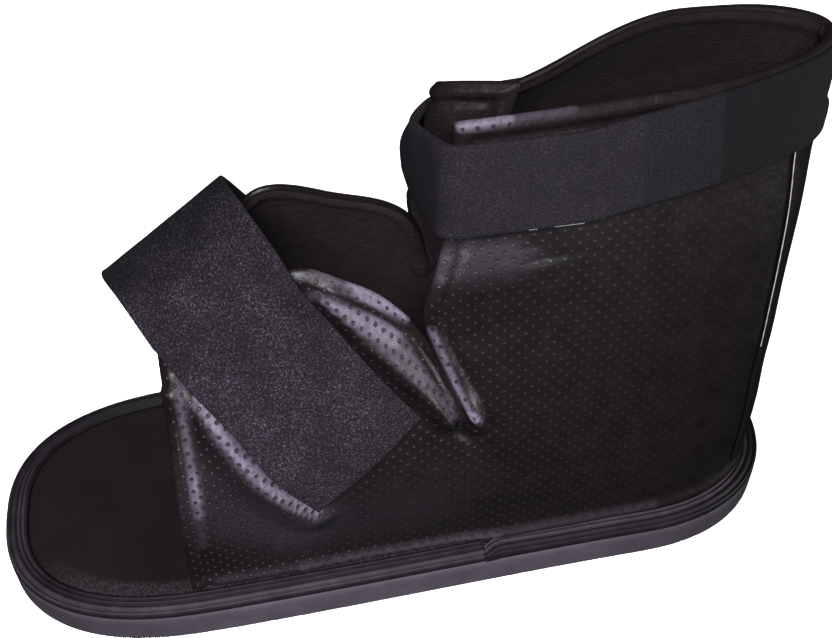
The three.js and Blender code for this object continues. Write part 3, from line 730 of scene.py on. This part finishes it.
def foam_look():
    look = Look("sole_foam", Roughness=0.8, Specular_IOR_Level=0.25)
    colour = look.mottled(scale=0.08, detail=4, colours=FOAM_COLOURS)
    # Painted shade towards the toe and the heel
    look.wire(look.fade(colour, look.y, SOLE_PAINTED_SHADE), "Base Color")
    look.bump([(look.grain(scale=0.25, detail=3), 0.25), (look.cells(scale=1.8), 0.08)])
    return look.material


def rib_look(name, rib_light, inner_rib_light):
    """Ribbed rubber with painted highlights on its ribs' crests and painted shade between them and towards
    the toe, the heel and the far side, with its own painted light where it goes over to the inner side.
    """
    look = Look(name, Roughness=0.55, Specular_IOR_Level=0.13)
    colour = look.mottled(scale=0.15, detail=4, colours=WELT_COLOURS)
    inset = look.stored("inset")
    # Painted highlights on the ribs' crests and painted shade across and along the welt
    inner, outer = (look.fade(colour, inset, side_rib_light) for side_rib_light in (inner_rib_light, rib_light))
    colour = look.mix(look.between(look.x, *RIB_TURN), inner, outer)
    colour = look.fade(colour, look.x, WELT_PAINTED_SHADE_ACROSS)
    look.wire(look.fade(colour, look.y, WELT_PAINTED_SHADE_ALONG), "Base Color")
    look.bump([(look.grain(scale=1.1, detail=3), 0.1)])
    return look.material


def footbed_look():
    """Black cloth with a painted speckled sheen along the outer rim of the toe, where a round outline is
    near 1.
    """
    look = Look("footbed_cloth", Roughness=0.95, Specular_IOR_Level=0.1)
    colour = look.mottled(scale=0.05, detail=4, colours=FOOTBED_COLOURS)
    ahead = look.math("SUBTRACT", TOE_RIM.start, look.y)
    shares = [(look.x, TOE_RIM.half), (ahead, TOE_RIM.length)]
    side, front = (
        look.math("POWER", look.math("MAXIMUM", look.math("DIVIDE", reach, whole), 0), TOE_RIM.power)
        for reach, whole in shares
    )
    near_rim = look.ramp(look.math("ADD", side, front), RIM_SHEEN)
    near_rim = look.product(near_rim, look.between(look.x, *RIM_SIDE))
    # Painted speckled sheen near the toe's outer rim
    sheen = look.product(near_rim, look.ramp(look.grain(scale=1.1, detail=2), RIM_SPECKLE))
    look.wire(look.mix(sheen, colour, PAINTED_SHEEN_COLOUR), "Base Color")
    look.bump([(look.grain(scale=0.05, detail=2), 0.6), (look.cells(scale=1.2), 0.2)])
    return look.material


def cut_edge_look():
    look = Look("backstay_cut_edge", Roughness=0.6, Specular_IOR_Level=0.3)
    dark = tuple(CUT_EDGE_SHADE * c for c in CUT_EDGE_COLOUR)
    stops = [(0.3, dark), (0.6, CUT_EDGE_COLOUR)]
    look.wire(look.ramp(look.grain(scale=0.3, detail=3), stops), "Base Color")
    look.bump([(look.grain(scale=1.5, detail=2), 0.08)])
    return look.material


VINYL = vinyl_look("vinyl")
VINYL_EDGE = vinyl_look("vinyl_edge", dotted=False)
LINING = lining_look()
INSTEP_PILE = pile_look("instep_loop_pile", INSTEP_COLOURS, INSTEP_SHADE_WAY, INSTEP_PAINTED_SHADE)
ANKLE_PILE = pile_look("ankle_loop_pile", ANKLE_COLOURS, ANKLE_SHADE_WAY, ANKLE_PAINTED_SHADE, ANKLE_INNER_SHADE)
FOAM = foam_look()
FRONT_RIBBED = rib_look("front_welt_rubber", FRONT_RIB_PAINTED_LIGHT, TOE_RIB_PAINTED_LIGHT)
REAR_RIBBED = rib_look("rear_welt_rubber", REAR_RIB_PAINTED_LIGHT, REAR_RIB_PAINTED_LIGHT)
FOOTBED_CLOTH = footbed_look()
PALE = cut_edge_look()


# Sole, welt and footbed

def sole_half():
    toe_y = -SOLE.length / 2 + SOLE.toe_round
    heel_y = SOLE.length / 2 - SOLE.heel_round
    turn = np.linspace(0, math.pi / 2, STEPS.sole_round + 1)
    share = np.linspace(0, 1, STEPS.sole_side + 1)
    toe_power, heel_power = 2 / SOLE.toe_power, 2 / SOLE.heel_power
    sine, cosine = np.sin(turn), np.abs(np.cos(turn))
    cosine[-1] = 0
    toe_x = SOLE.toe_half * sine ** toe_power
    toe = np.stack([toe_x, toe_y - SOLE.toe_round * cosine ** toe_power], axis=1)
    side_x = lerp(SOLE.toe_half, SOLE.heel_half, smoothstep(share))
    side = np.stack([side_x, lerp(toe_y, heel_y, share)], axis=1)
    heel_x = SOLE.heel_half * cosine ** heel_power
    heel = np.stack([heel_x, heel_y + SOLE.heel_round * sine ** heel_power], axis=1)
    return np.concatenate([toe[:-1], side[:-1], heel])


def sole_loop():
    """Evenly spaced points of the whole outline, anticlockwise from the toe, and outward directions."""
    half = sole_half()
    half = resample(half, len(half))
    loop = np.concatenate([half, half[-2:0:-1] * (-1, 1)])
    along = np.roll(loop, -1, axis=0) - np.roll(loop, 1, axis=0)
    along /= np.linalg.norm(along, axis=1, keepdims=True)
    return loop, np.stack([along[:, 1], -along[:, 0]], axis=1)


LOOP, OUTWARD = sole_loop()


def half_width_at(y, inset):
    count = len(LOOP) // 2 + 1
    edge = (LOOP - OUTWARD * inset)[:count]
    return np.interp(y, edge[:, 1], edge[:, 0])


def spring_at(y, z):
    reach = np.maximum(0, (TOE_SPRING.start - y) / (SOLE.length / 2 + TOE_SPRING.start))
    return TOE_SPRING.rise * reach ** 2 * np.maximum(0, 1 - z / SOLE_TOP)


def tube_quads(rings, count):
    """Quads between closed rings of points that follow each other."""
    quads = []
    for low in range(0, (rings - 1) * count, count):
        for i in range(count):
            after = (i + 1) % count
            quads.append([low + i, low + after, low + count + after, low + count + i])
    return quads


def slab(name, profile, material, crown=0.0):
    """A slab whose side follows a profile, closed across its bottom and its crowned top."""
    shares = np.linspace(0, 1, STEPS.profile * len(profile))
    heights, insets = through(profile, shares).T
    count = len(LOOP)
    rings = [LOOP - OUTWARD * inset for inset in insets]
    points = [np.column_stack([ring, z + spring_at(ring[:, 1], z)]) for ring, z in zip(rings, heights)]
    for share in np.linspace(1, 0, STEPS.slab_top + 1)[1:-1]:
        top = heights[-1] + crown * (1 - share ** 2)
        points.append(np.column_stack([rings[-1] * (share, 1), np.full(count, top)]))
    faces = tube_quads(len(points), count)
    last = (len(points) - 1) * count
    for i in range(count // 2):
        rung = [i, i + 1, count - i - 1, (count - i) % count]
        rung = list(dict.fromkeys(rung))
        faces.append([last + k for k in rung])
        faces.append(list(reversed(rung)))
    return add_piece(name, np.concatenate(points), faces, [material])


def welt_section():
    base, lip, climb = WELT.base, WELT.lip, WELT.climb
    edge, corner, inner_edge = WELT.outer_edge, WELT.corner, WELT.inner_edge
    section = [(edge, base), (corner, base + corner), (0, base + edge), (0, base + lip)]
    start = 0.0
    for width in WELT_RIBS:
        for part in np.linspace(0, 1, STEPS.rib + 1)[1:]:
            inset = start + part * width
            swell = WELT.rib_rise * math.sin(math.pi * part) ** ROLL_POWER
            section.append((inset, base + lip + inset * climb + swell))
        start += width
    end = section[-1][1]
    section += [(WELT.width - inner_edge, end), (WELT.width, end - inner_edge), (WELT.width, base)]
    return np.array(section)


def welt(name, front):
    section = welt_section()
    half = len(LOOP) // 2
    order = np.arange(half + 1, len(LOOP) + half + 1) % len(LOOP) if front else np.arange(len(LOOP))
    end_y = WELT_JOINT_Y + (-WELT.joint_gap if front else WELT.joint_gap)
    kept = (LOOP[order, 1] < end_y) if front else (LOOP[order, 1] > end_y)
    places = np.column_stack([LOOP, OUTWARD])[order]
    strip = places[kept]
    ends = []
    for end, beyond in ((np.argmax(kept), -1), (len(kept) - 1 - np.argmax(kept[::-1]), 1)):
        a, b = places[end], places[(end + beyond) % len(places)]
        ends.append(lerp(a, b, (end_y - a[1]) / (b[1] - a[1])))
    strip = np.concatenate([ends[:1], strip, ends[1:]])
    points = []
    for place, outward in zip(strip[:, :2], strip[:, 2:]):
        past = place[1] - WELT_JOINT_Y
        lift, inset_shift = 0.0, 0.0
        if not front:
            lift = WELT_LAP.lift * (1 - smoothstep(past / WELT_LAP.reach))
            turned = 1 - min(past / WELT_LAP.turn, 1)
            lift -= WELT_LAP.turn_down * turned ** 2
            inset_shift = -WELT_LAP.turn_out * turned ** 2
        inset = np.maximum(section[:, 0] + inset_shift, 0)
        ring = place - np.outer(inset, outward)
        rise = np.where(section[:, 1] > WELT.base + WELT_LAP.held, lift, 0)
        points.append(np.column_stack([ring, section[:, 1] + rise]))
    size = len(section)
    faces = [[a, d, c, b] for a, b, c, d in tube_quads(len(points), size)]
    last = (len(points) - 1) * size
    faces.append(list(range(size)))
    faces.append([last + j for j in reversed(range(size))])
    piece = add_piece(name, np.concatenate(points), faces, [FRONT_RIBBED if front else REAR_RIBBED])
    write_values(piece, "inset", np.tile(section[:, 0], len(points)))
    return piece


# Side panels

def level_points(level, shares):
    """Points of a quarter level from its front edge to the middle of the heel."""
    z = lerp(level.front_z, level.heel_z, smoothstep(shares / level.rise))
    part = np.clip(shares / SIDE_SHARE, 0, 1)
    turn = np.clip((shares - SIDE_SHARE) / (1 - SIDE_SHARE), 0, 1) * math.pi / 2
    power = 2 / level.power
    cosine = np.maximum(np.cos(turn), 0) ** power
    x_front = lerp(level.front_x, level.side_x, smoothstep(part))
    x_heel = np.maximum(level.side_x * cosine, SEAM_GAP)
    y_front = lerp(level.front_y, level.side_y, part)
    y_heel = level.side_y + (level.heel_y - level.side_y) * np.sin(turn) ** power
    ahead = shares < SIDE_SHARE
    return np.stack([np.where(ahead, x_front, x_heel), np.where(ahead, y_front, y_heel), z], axis=1)


def quarter_grid(name, shares, heights):
    levels = [level_points(level, shares) for level in rows_of(LEVEL_KEYS, QUARTER_LEVELS[name])]
    return through(levels, heights).transpose(1, 0, 2)


def flap_grid(name, shares, heights):
    ribs = []
    for rib in rows_of(RIB_KEYS, FLAP_RIBS[name]):
        foot = (half_width_at(rib.foot_y, FOOT_INSET), rib.foot_y, FOOT_Z)
        middle = (rib.mid_x, lerp(rib.foot_y, rib.top_y, RIB_MIDDLE_SHARE), rib.mid_z)
        ribs.append(through([foot, middle, (rib.top_x, rib.top_y, rib.top_z)], heights))
    return through(ribs, shares)


def wrap_grid(front_edge, start_share, heights):
    """The inner panel's front flap, from its tucked end round to the inner quarter's front edge."""
    share = (heights - start_share) / (1 - start_share)
    stops = [through(stop, share) for stop in zip(*WRAP_LEVELS)]
    return through([*stops, front_edge], np.linspace(0, 1, STEPS.wrap + 1))


def crest_rise(crests, points):
    """Height of crests over the panel, also used as the strength of painted highlights along lines: an even
    flank above each line and a round one below it.
    """
    rise = np.zeros(len(points))
    seen = points[:, 1:]
    for crest in rows_of(CREST_KEYS, crests):
        line = np.array(crest.line, float)
        away = distance_to([line], seen)
        order = np.argsort(line[:, 0])
        crest_z = np.interp(seen[:, 0], line[order, 0], line[order, 1])
        even = np.maximum(1 - away / crest.above, 0)
        rounded = 1 - smoothstep(away / crest.below)
        rise += crest.rise * np.where(seen[:, 1] > crest_z, even, rounded)
    return rise


def within(corners, places):
    """Whether places lie within an outline, by counting the sides that a line from each crosses."""
    inside = np.zeros(len(places), bool)
    for a, b in zip(corners, np.roll(corners, -1, axis=0)):
        spans = (a[1] > places[:, 1]) != (b[1] > places[:, 1])
        rise = b[1] - a[1]
        crossing = a[0] + (places[:, 1] - a[1]) * (b[0] - a[0]) / (rise if rise else 1)
        inside ^= spans & (places[:, 0] < crossing)
    return inside


def area_rise(areas, points):
    """Strength of painted highlights over the panel, in areas within soft outlines."""
    rise = np.zeros(len(points))
    seen = points[:, 1:]
    for area in rows_of(AREA_KEYS, areas):
        corners = np.array(area.corners, float)
        away = distance_to([np.concatenate([corners, corners[:1]])], seen)
        depth = np.where(within(corners, seen), away, -away)
        rise += area.rise * smoothstep(depth / area.soft + 0.5)
    return rise


def waves(points, seed, size, height):
    """Gentle unevenness of padded cloth."""
    shift = Vector((seed, 2 * seed, 3 * seed))
    return np.array([height * noise.noise(Vector(p) / size + shift) for p in points])


def climb_of(grid):
    """Length up each column of a grid, seen along the shoe."""
    return run_lengths(grid[..., [0, 2]].transpose(1, 0, 2)).T


def smooth_seam(flap, quarter):
    """Eases the bend where the flap runs into the quarter below the slit."""
    across = np.concatenate([flap[:-1, :, 0], quarter[..., 0]])
    along = np.concatenate([flap[:-1, :, 1], quarter[..., 1]])
    away = np.abs(along - quarter[0, :, 1])
    up = np.linspace(0, 1, across.shape[1])
    below_slit = 1 - smoothstep((up - SEAM_EASE.high) / (1 - SEAM_EASE.high))
    ease = (1 - smoothstep(away / SEAM_EASE.reach)) * below_slit
    for _ in range(SEAM_EASE.rounds):
        mean = across.copy()
        mean[1:-1] = (across[:-2] + 2 * across[1:-1] + across[2:]) / 4
        across = lerp(across, mean, ease)
    flap[:, :, 0] = across[:len(flap)]
    quarter[..., 0] = across[len(flap) - 1:]


def panel(name, side):
    """Sheet of a side panel, its hem lines, and the grids that straps are laid on."""
    levels = len(QUARTER_LEVELS[name]) - 1
    notch = NOTCH_LEVEL / levels
    low = np.linspace(0, notch, STEPS.low_rows + 1)
    heights = np.concatenate([low, np.linspace(notch, 1, STEPS.high_rows + 1)[1:]])
    quarter = quarter_grid(name, np.linspace(0, 1, STEPS.quarter + 1), heights)
    flap = flap_grid(name, np.linspace(0, 1, STEPS.flap + 1), low / notch)
    flap[-1] = quarter[0, :len(low)]
    for grid in (quarter, flap):
        grid[..., 0] *= side
    smooth_seam(flap, quarter[:, :len(low)])
    sheet = Sheet()
    quarter_uv = np.stack([quarter[0, :, 1] + run_lengths(quarter), climb_of(quarter)], axis=-1)
    flap_uv = np.stack([flap[..., 1], climb_of(flap)], axis=-1)
    quarter_index = sheet.add_points(quarter, quarter_uv)
    flap_index = sheet.add_points(flap[:-1], flap_uv[:-1])
    flap_index = np.concatenate([flap_index, quarter_index[:1, :len(low)]])
    sheet.add_quads(quarter_index, flip=side < 0)
    sheet.add_quads(flap_index, flip=side < 0)
    hems = [flap[0], flap[:, -1], quarter[0, len(low) - 1:], quarter[:, -1]]
    grids = [quarter, flap]
    if name == "medial":
        start = int(np.argmax(heights >= WRAP_START_LEVEL / levels))
        wrap = wrap_grid(quarter[0, start:], heights[start], heights[start:])
        wrap_run = run_lengths(wrap)
        wrap_along = quarter_uv[0, start:, 0] + wrap_run - wrap_run[-1]
        wrap_uv = np.stack(np.broadcast_arrays(wrap_along, quarter_uv[0, start:, 1][None]), axis=-1)
        wrap_index = sheet.add_points(wrap[:-1], wrap_uv[:-1])
        wrap_index = np.concatenate([wrap_index, quarter_index[:1, start:]])
        sheet.add_quads(wrap_index, flip=side < 0)
        hems[2] = quarter[0, len(low) - 1:start + 1]
        hems += [wrap[0], wrap[:, -1], wrap[:, 0]]
        grids.append(wrap)
    return sheet, hems, grids


def hem_swell(away):
    """Rise of a rolled hem over the sheet, and the sewn groove beside it."""
    roll = HEM.swell * np.sin(math.pi * np.minimum(away / HEM.width, 1)) ** ROLL_POWER
    groove = HEM.groove * np.exp(-((away - HEM.groove_at) / HEM.groove_width) ** 2)
    return roll, groove


def make_panel(name, side):
    """Adds a side panel, and returns its surface and its grids."""
    sheet, hems, grids = panel(name, side)
    away = distance_to(hems, sheet.points)
    roll, groove = hem_swell(away)
    x, y, z = sheet.points.T
    flare = BASE_FLARE.out * np.exp(-((z - FOOT_Z) / BASE_FLARE.height) ** 2)
    near_heel = (y > HEEL_SEAM_Y) & (np.abs(x) < HEEL_SEAM_HALF)
    fullness = HEEL_FULLNESS.out * smoothstep((y - HEEL_FULLNESS.start) / HEEL_FULLNESS.reach)
    outward = roll - groove + flare + fullness + waves(sheet.points, WAVES_SEED + side, **PANEL_WAVES)
    if side > 0:
        outward += crest_rise(FOLDS, sheet.points)
    wall = WALL + 2 * roll - groove + fullness
    notch = grids[0][0, STEPS.low_rows]
    near_notch = np.linalg.norm(sheet.points - notch, axis=1) < NOTCH.reach
    edge_roll = np.where(near_heel, 0.0, np.where(near_notch, NOTCH.edge_round, 1.0))

    def keep_to_side(points):
        behind = points[:, 1] > HEEL_SEAM_Y
        points[behind, 0] = side * np.maximum(side * points[behind, 0], SEAM_GAP)
        return points

    points, faces, uv, parts = thicken(sheet, outward, wall, edge_roll, HEM.drawn_in, keep_to_side)
    piece = add_piece(f"{name}_panel", points, faces, [VINYL, LINING] + [VINYL_EDGE] * RIM_STEPS, parts, uv)
    # Painted highlights on the outer panel, by lines and by areas
    painted_highlight = np.zeros(len(points))
    if side > 0:
        painted_highlight = crest_rise(PAINTED_HIGHLIGHT_LINES, points) + area_rise(PAINTED_HIGHLIGHT_AREAS, points)
    write_values(piece, "painted_highlight", np.minimum(painted_highlight, 1))
    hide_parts(f"upper_{name}")
    return BVHTree.FromPolygons(points.tolist(), faces), grids


# Straps and backstay, laid on the panels

def reach_of(surfaces, centre, direction):
    """How far from a centre the outermost surface lies, in a level direction."""
    start = Vector(centre) + Vector(direction) * FAR
    reach = 0.0
    for surface in surfaces:
        hit = surface.ray_cast(start, -Vector(direction))
        if hit[0] is not None:
            reach = max(reach, FAR - hit[3])
    return reach


def side_reach(surfaces, side, y, z):
    return reach_of(surfaces, (0, max(y, FLAP_FRONT[side]), z), (side, 0, 0))


def forefoot_strap(surfaces):
    """A strap laid over the panels and relaxed until it is taut and clear of them."""
    shares = np.linspace(0, 1, STEPS.forefoot_rows + 1)
    lines = []
    for share in shares:
        line = []
        for rung in rows_of(RUNG_KEYS, FOREFOOT_RUNGS):
            y = lerp(rung.front_y, rung.rear_y, share)
            z = lerp(rung.front_z, rung.rear_z, share)
            x = rung.x
            if rung.side:
                x = rung.side * (side_reach(surfaces, rung.side, y, z) + FOREFOOT_GAP)
            line.append((x, y, z))
        fine = through(line, np.linspace(0, 1, STEPS.forefoot_line + 1))
        lines.append(resample(fine, STEPS.forefoot + 1))
    grid = np.array(lines).transpose(1, 0, 2)
    side = np.sign(grid[..., 0])
    least = np.zeros(grid.shape[:2])
    for c, r in np.ndindex(*least.shape):
        y, z = grid[c, r, 1:]
        reach = side_reach(surfaces, int(side[c, r]), y, z) if side[c, r] else 0
        least[c, r] = reach + FOREFOOT_GAP if reach else 0
    across = np.maximum(side * grid[..., 0], least)
    for _ in range(FOREFOOT_ROUNDS):
        padded = np.pad(across * side, 1, mode="edge")
        mean = (padded[:-2, 1:-1] + padded[2:, 1:-1] + padded[1:-1, :-2] + padded[1:-1, 2:]) / 4
        across = np.maximum(mean * side, least)
    grid[..., 0] = across * side
    run = run_lengths(grid)[:, len(shares) // 2]
    width = run_lengths(grid[len(grid) // 2])
    sheet = cloth(grid, run, width, flip=True)
    count = len(sheet.points)
    wall = np.full(count, STRAP_WALL)
    points, faces, uv, parts = thicken(sheet, wall, wall, np.full(count, STRAP_EDGE_ROUND))
    piece = add_piece("instep_strap", points, faces, [INSTEP_PILE] * PARTS, parts, uv)
    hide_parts("forefoot_strap")


def ankle_height(places):
    climb = ANKLE.climb * np.maximum(0, places[..., 1] - ANKLE.climb_start)
    return ANKLE.low + ANKLE.lean * places[..., 0] + climb


def crossings(grids, lift):
    """Points where columns of grids cross the ankle strap's surface at a lift over its lower edge."""
    found = []
    for grid in grids:
        above = grid[..., 2] - ankle_height(grid) - lift
        a, b = above[:, :-1], above[:, 1:]
        hit = a * b < 0
        share = (a / np.where(hit, a - b, 1))[hit]
        found.append(grid[:, :-1][hit] + share[:, None] * (grid[:, 1:] - grid[:, :-1])[hit])
    points = np.concatenate(found)
    return points[points[:, 1] > ANKLE.front_y]


def ankle_strap(grids):
    """A band pulled taut: each place touches the farthest point of what it holds, its own way."""
    turns = np.linspace(0, 2 * math.pi, STEPS.ankle_turns + 1)[:-1] + math.pi / 2
    ways = np.stack([np.cos(turns), np.sin(turns)], axis=1)
    rows = []
    for row in range(STEPS.ankle_rows + 1):
        held = crossings(grids, ANKLE.width * row / STEPS.ankle_rows)[:, :2]
        gap = ANKLE.gap + ANKLE.front_ease * np.maximum(0, -ways[:, 1]) ** 2
        touched = held[np.argmax(held @ ways.T, axis=0)] + ways * gap[:, None]
        loop = np.concatenate([touched, touched[:1]])
        rows.append(resample(loop, STEPS.ankle + 1)[:-1])
    flat = np.array(rows)
    for _ in range(ANKLE.rounds):
        flat = (np.roll(flat, 1, axis=1) + 2 * flat + np.roll(flat, -1, axis=1)) / 4
    lift = ANKLE.width * np.arange(len(flat)) / STEPS.ankle_rows
    z = ankle_height(flat) + lift[:, None]
    grid = np.concatenate([flat, z[..., None]], axis=-1).transpose(1, 0, 2)
    run = run_lengths(np.concatenate([grid, grid[:1]]))[:, len(lift) // 2]
    sheet = cloth(grid, run[:-1], lift, wrap=True)
    x, y, _ = sheet.points.T
    past_end = (y - ANKLE_END.y) / ANKLE_END.edge + 0.5
    past_end = np.where(x > 0, past_end, (y - ANKLE_END.inner_y) / ANKLE_END.inner_reach)
    outward = STRAP_WALL + ANKLE_END.rise * (1 - smoothstep(past_end))
    points, faces, uv, parts = thicken(sheet, outward, outward, np.full(len(outward), STRAP_EDGE_ROUND))
    parts = np.array(parts)
    middles = middles_of(points, faces)
    low = middles[:, 2] < ankle_height(middles) + ANKLE.width / 2
    frayed = np.isin(parts, (EDGE, EDGE + 1)) & (middles[:, 0] > 0) & low
    for start, end in FRAYED:
        parts[frayed & (middles[:, 1] > start) & (middles[:, 1] < end)] = PARTS
    piece = add_piece("ankle_band", points, faces, [ANKLE_PILE] * PARTS + [PALE], parts.tolist(), uv)
    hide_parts("ankle_strap")


def backstay(surfaces):
    """A strip over the heel seam, which it bridges from one panel to the other."""
    columns, rows = STEPS.backstay, STEPS.backstay_rows
    across = np.linspace(-1, 1, columns + 1)
    first, last = columns // 2 - BACKSTAY.bridge, columns // 2 + BACKSTAY.bridge

    def laid(up, heights):
        half = lerp(BACKSTAY.low_angle, BACKSTAY.high_angle, up ** BACKSTAY.narrowing)
        turn = np.radians(90 + half * across)
        level = np.zeros(columns + 1)
        ways = np.stack([np.cos(turn), np.sin(turn), level], axis=1)
        centres = np.stack([level, level + BACKSTAY.centre_y, heights], axis=1)
        reach = np.array([reach_of(surfaces, centre, way) for centre, way in zip(centres, ways)])
        reach[first:last + 1] = np.linspace(reach[first], reach[last], last - first + 1)
        return centres + ways * (reach + BACKSTAY.gap)[:, None]

    top = ankle_height(laid(1, np.full(columns + 1, BACKSTAY.strap_z))) + BACKSTAY.under_strap
    grid = np.array([laid(up, lerp(BACKSTAY.low, top, up)) for up in np.linspace(0, 1, rows + 1)])
    grid = grid.transpose(1, 0, 2)
    run = run_lengths(grid)[:, rows // 2]
    rise = run_lengths(grid[columns // 2])
    sheet = cloth(grid, run, rise)
    count = len(sheet.points)
    wall = np.full(count, BACKSTAY.wall)
    points, faces, uv, parts = thicken(sheet, wall, wall, np.full(count, BACKSTAY.edge_round))
    parts = np.array(parts)
    z = middles_of(points, faces)[:, 2]
    parts[(parts == EDGE + 1) & (z > PALE_EDGE.low) & (z < PALE_EDGE.high)] = PARTS
    materials = [VINYL, LINING] + [VINYL_EDGE] * RIM_STEPS + [PALE]
    piece = add_piece("heel_backstay", points, faces, materials, parts.tolist(), uv)
    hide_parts("backstay")
    return grid


# The shoe

sole = slab("sole_slab", SOLE_PROFILE, FOAM)
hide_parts("sole")
footbed = slab("insole", FOOTBED_PROFILE, FOOTBED_CLOTH, FOOTBED_CROWN)
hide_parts("footbed")
for strip, is_front in (("welt_front", True), ("welt_rear", False)):
    length = welt(f"ribbed_{strip}", is_front)
    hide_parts(strip)

lateral_surface, lateral_grids = make_panel("lateral", 1)
medial_surface, medial_grids = make_panel("medial", -1)
panel_surfaces = [lateral_surface, medial_surface]
heel_grid = backstay(panel_surfaces)
forefoot_strap(panel_surfaces)
ankle_strap([*lateral_grids, *medial_grids, heel_grid])


# Floor, light and camera

def make_floor():
    mesh = bpy.data.meshes.new("floor")
    corners = [(x * FLOOR_HALF, y * FLOOR_HALF, 0) for x, y in ((-1, -1), (1, -1), (1, 1), (-1, 1))]
    mesh.from_pydata(corners, [], [(0, 1, 2, 3)])
    look = Look("floor_paper", Roughness=0.95, Specular_IOR_Level=0.1)
    look.wire(look.mottled(scale=0.02, detail=2, colours=FLOOR_COLOURS), "Base Color")
    mesh.materials.append(look.material)
    floor = add_object("floor", mesh)
    floor.visible_glossy = False
    floor.visible_diffuse = False


def make_light(name, place, target, size, power, colour, lights_cloth=True, gloss=True):
    light = bpy.data.lights.new(name, "AREA")
    light.shape = "DISK"
    light.size = size
    light.energy = power
    light.color = colour
    lamp = add_object(name, light)
    aim(lamp, place, Vector(target) - Vector(place))
    lamp.visible_diffuse = lights_cloth
    lamp.visible_glossy = gloss


def light_backdrop():
    """A lamp overhead for the floor alone, as a studio lights its backdrop."""
    sun = bpy.data.lights.new("backdrop", "SUN")
    sun.energy = BACKDROP.strength
    sun.angle = math.radians(BACKDROP.spread)
    lamp = add_object("backdrop", sun)
    lamp.location = (0, 0, 1)
    receivers = bpy.data.collections.new("backdrop_only")
    receivers.objects.link(bpy.data.objects["floor"])
    lamp.light_linking.receiver_collection = receivers


def make_world():
    world = bpy.data.worlds.new("studio")
    world.use_nodes = True
    background = world.node_tree.nodes["Background"]
    background.inputs["Color"].default_value = WHITE
    background.inputs["Strength"].default_value = ROOM_STRENGTH
    bpy.context.scene.world = world
    world.cycles_visibility.glossy = False


def make_camera():
    azimuth, elevation = math.radians(CAMERA.azimuth), math.radians(CAMERA.elevation)
    level = math.cos(elevation)
    forward = Vector((-math.sin(azimuth) * level, math.cos(azimuth) * level, -math.sin(elevation)))
    data = bpy.data.cameras.new("camera")
    data.lens = CAMERA.lens
    data.sensor_width = CAMERA.sensor
    data.clip_start = CAMERA.near * MM
    camera = add_object("camera", data)
    aim(camera, Vector(CAMERA.place) * MM, forward)
    bpy.context.scene.camera = camera


make_floor()
make_world()
for lamp_row in LIGHTS:
    make_light(**lamp_row)
light_backdrop()
make_camera()
bpy.context.scene.view_settings.view_transform = "Standard"
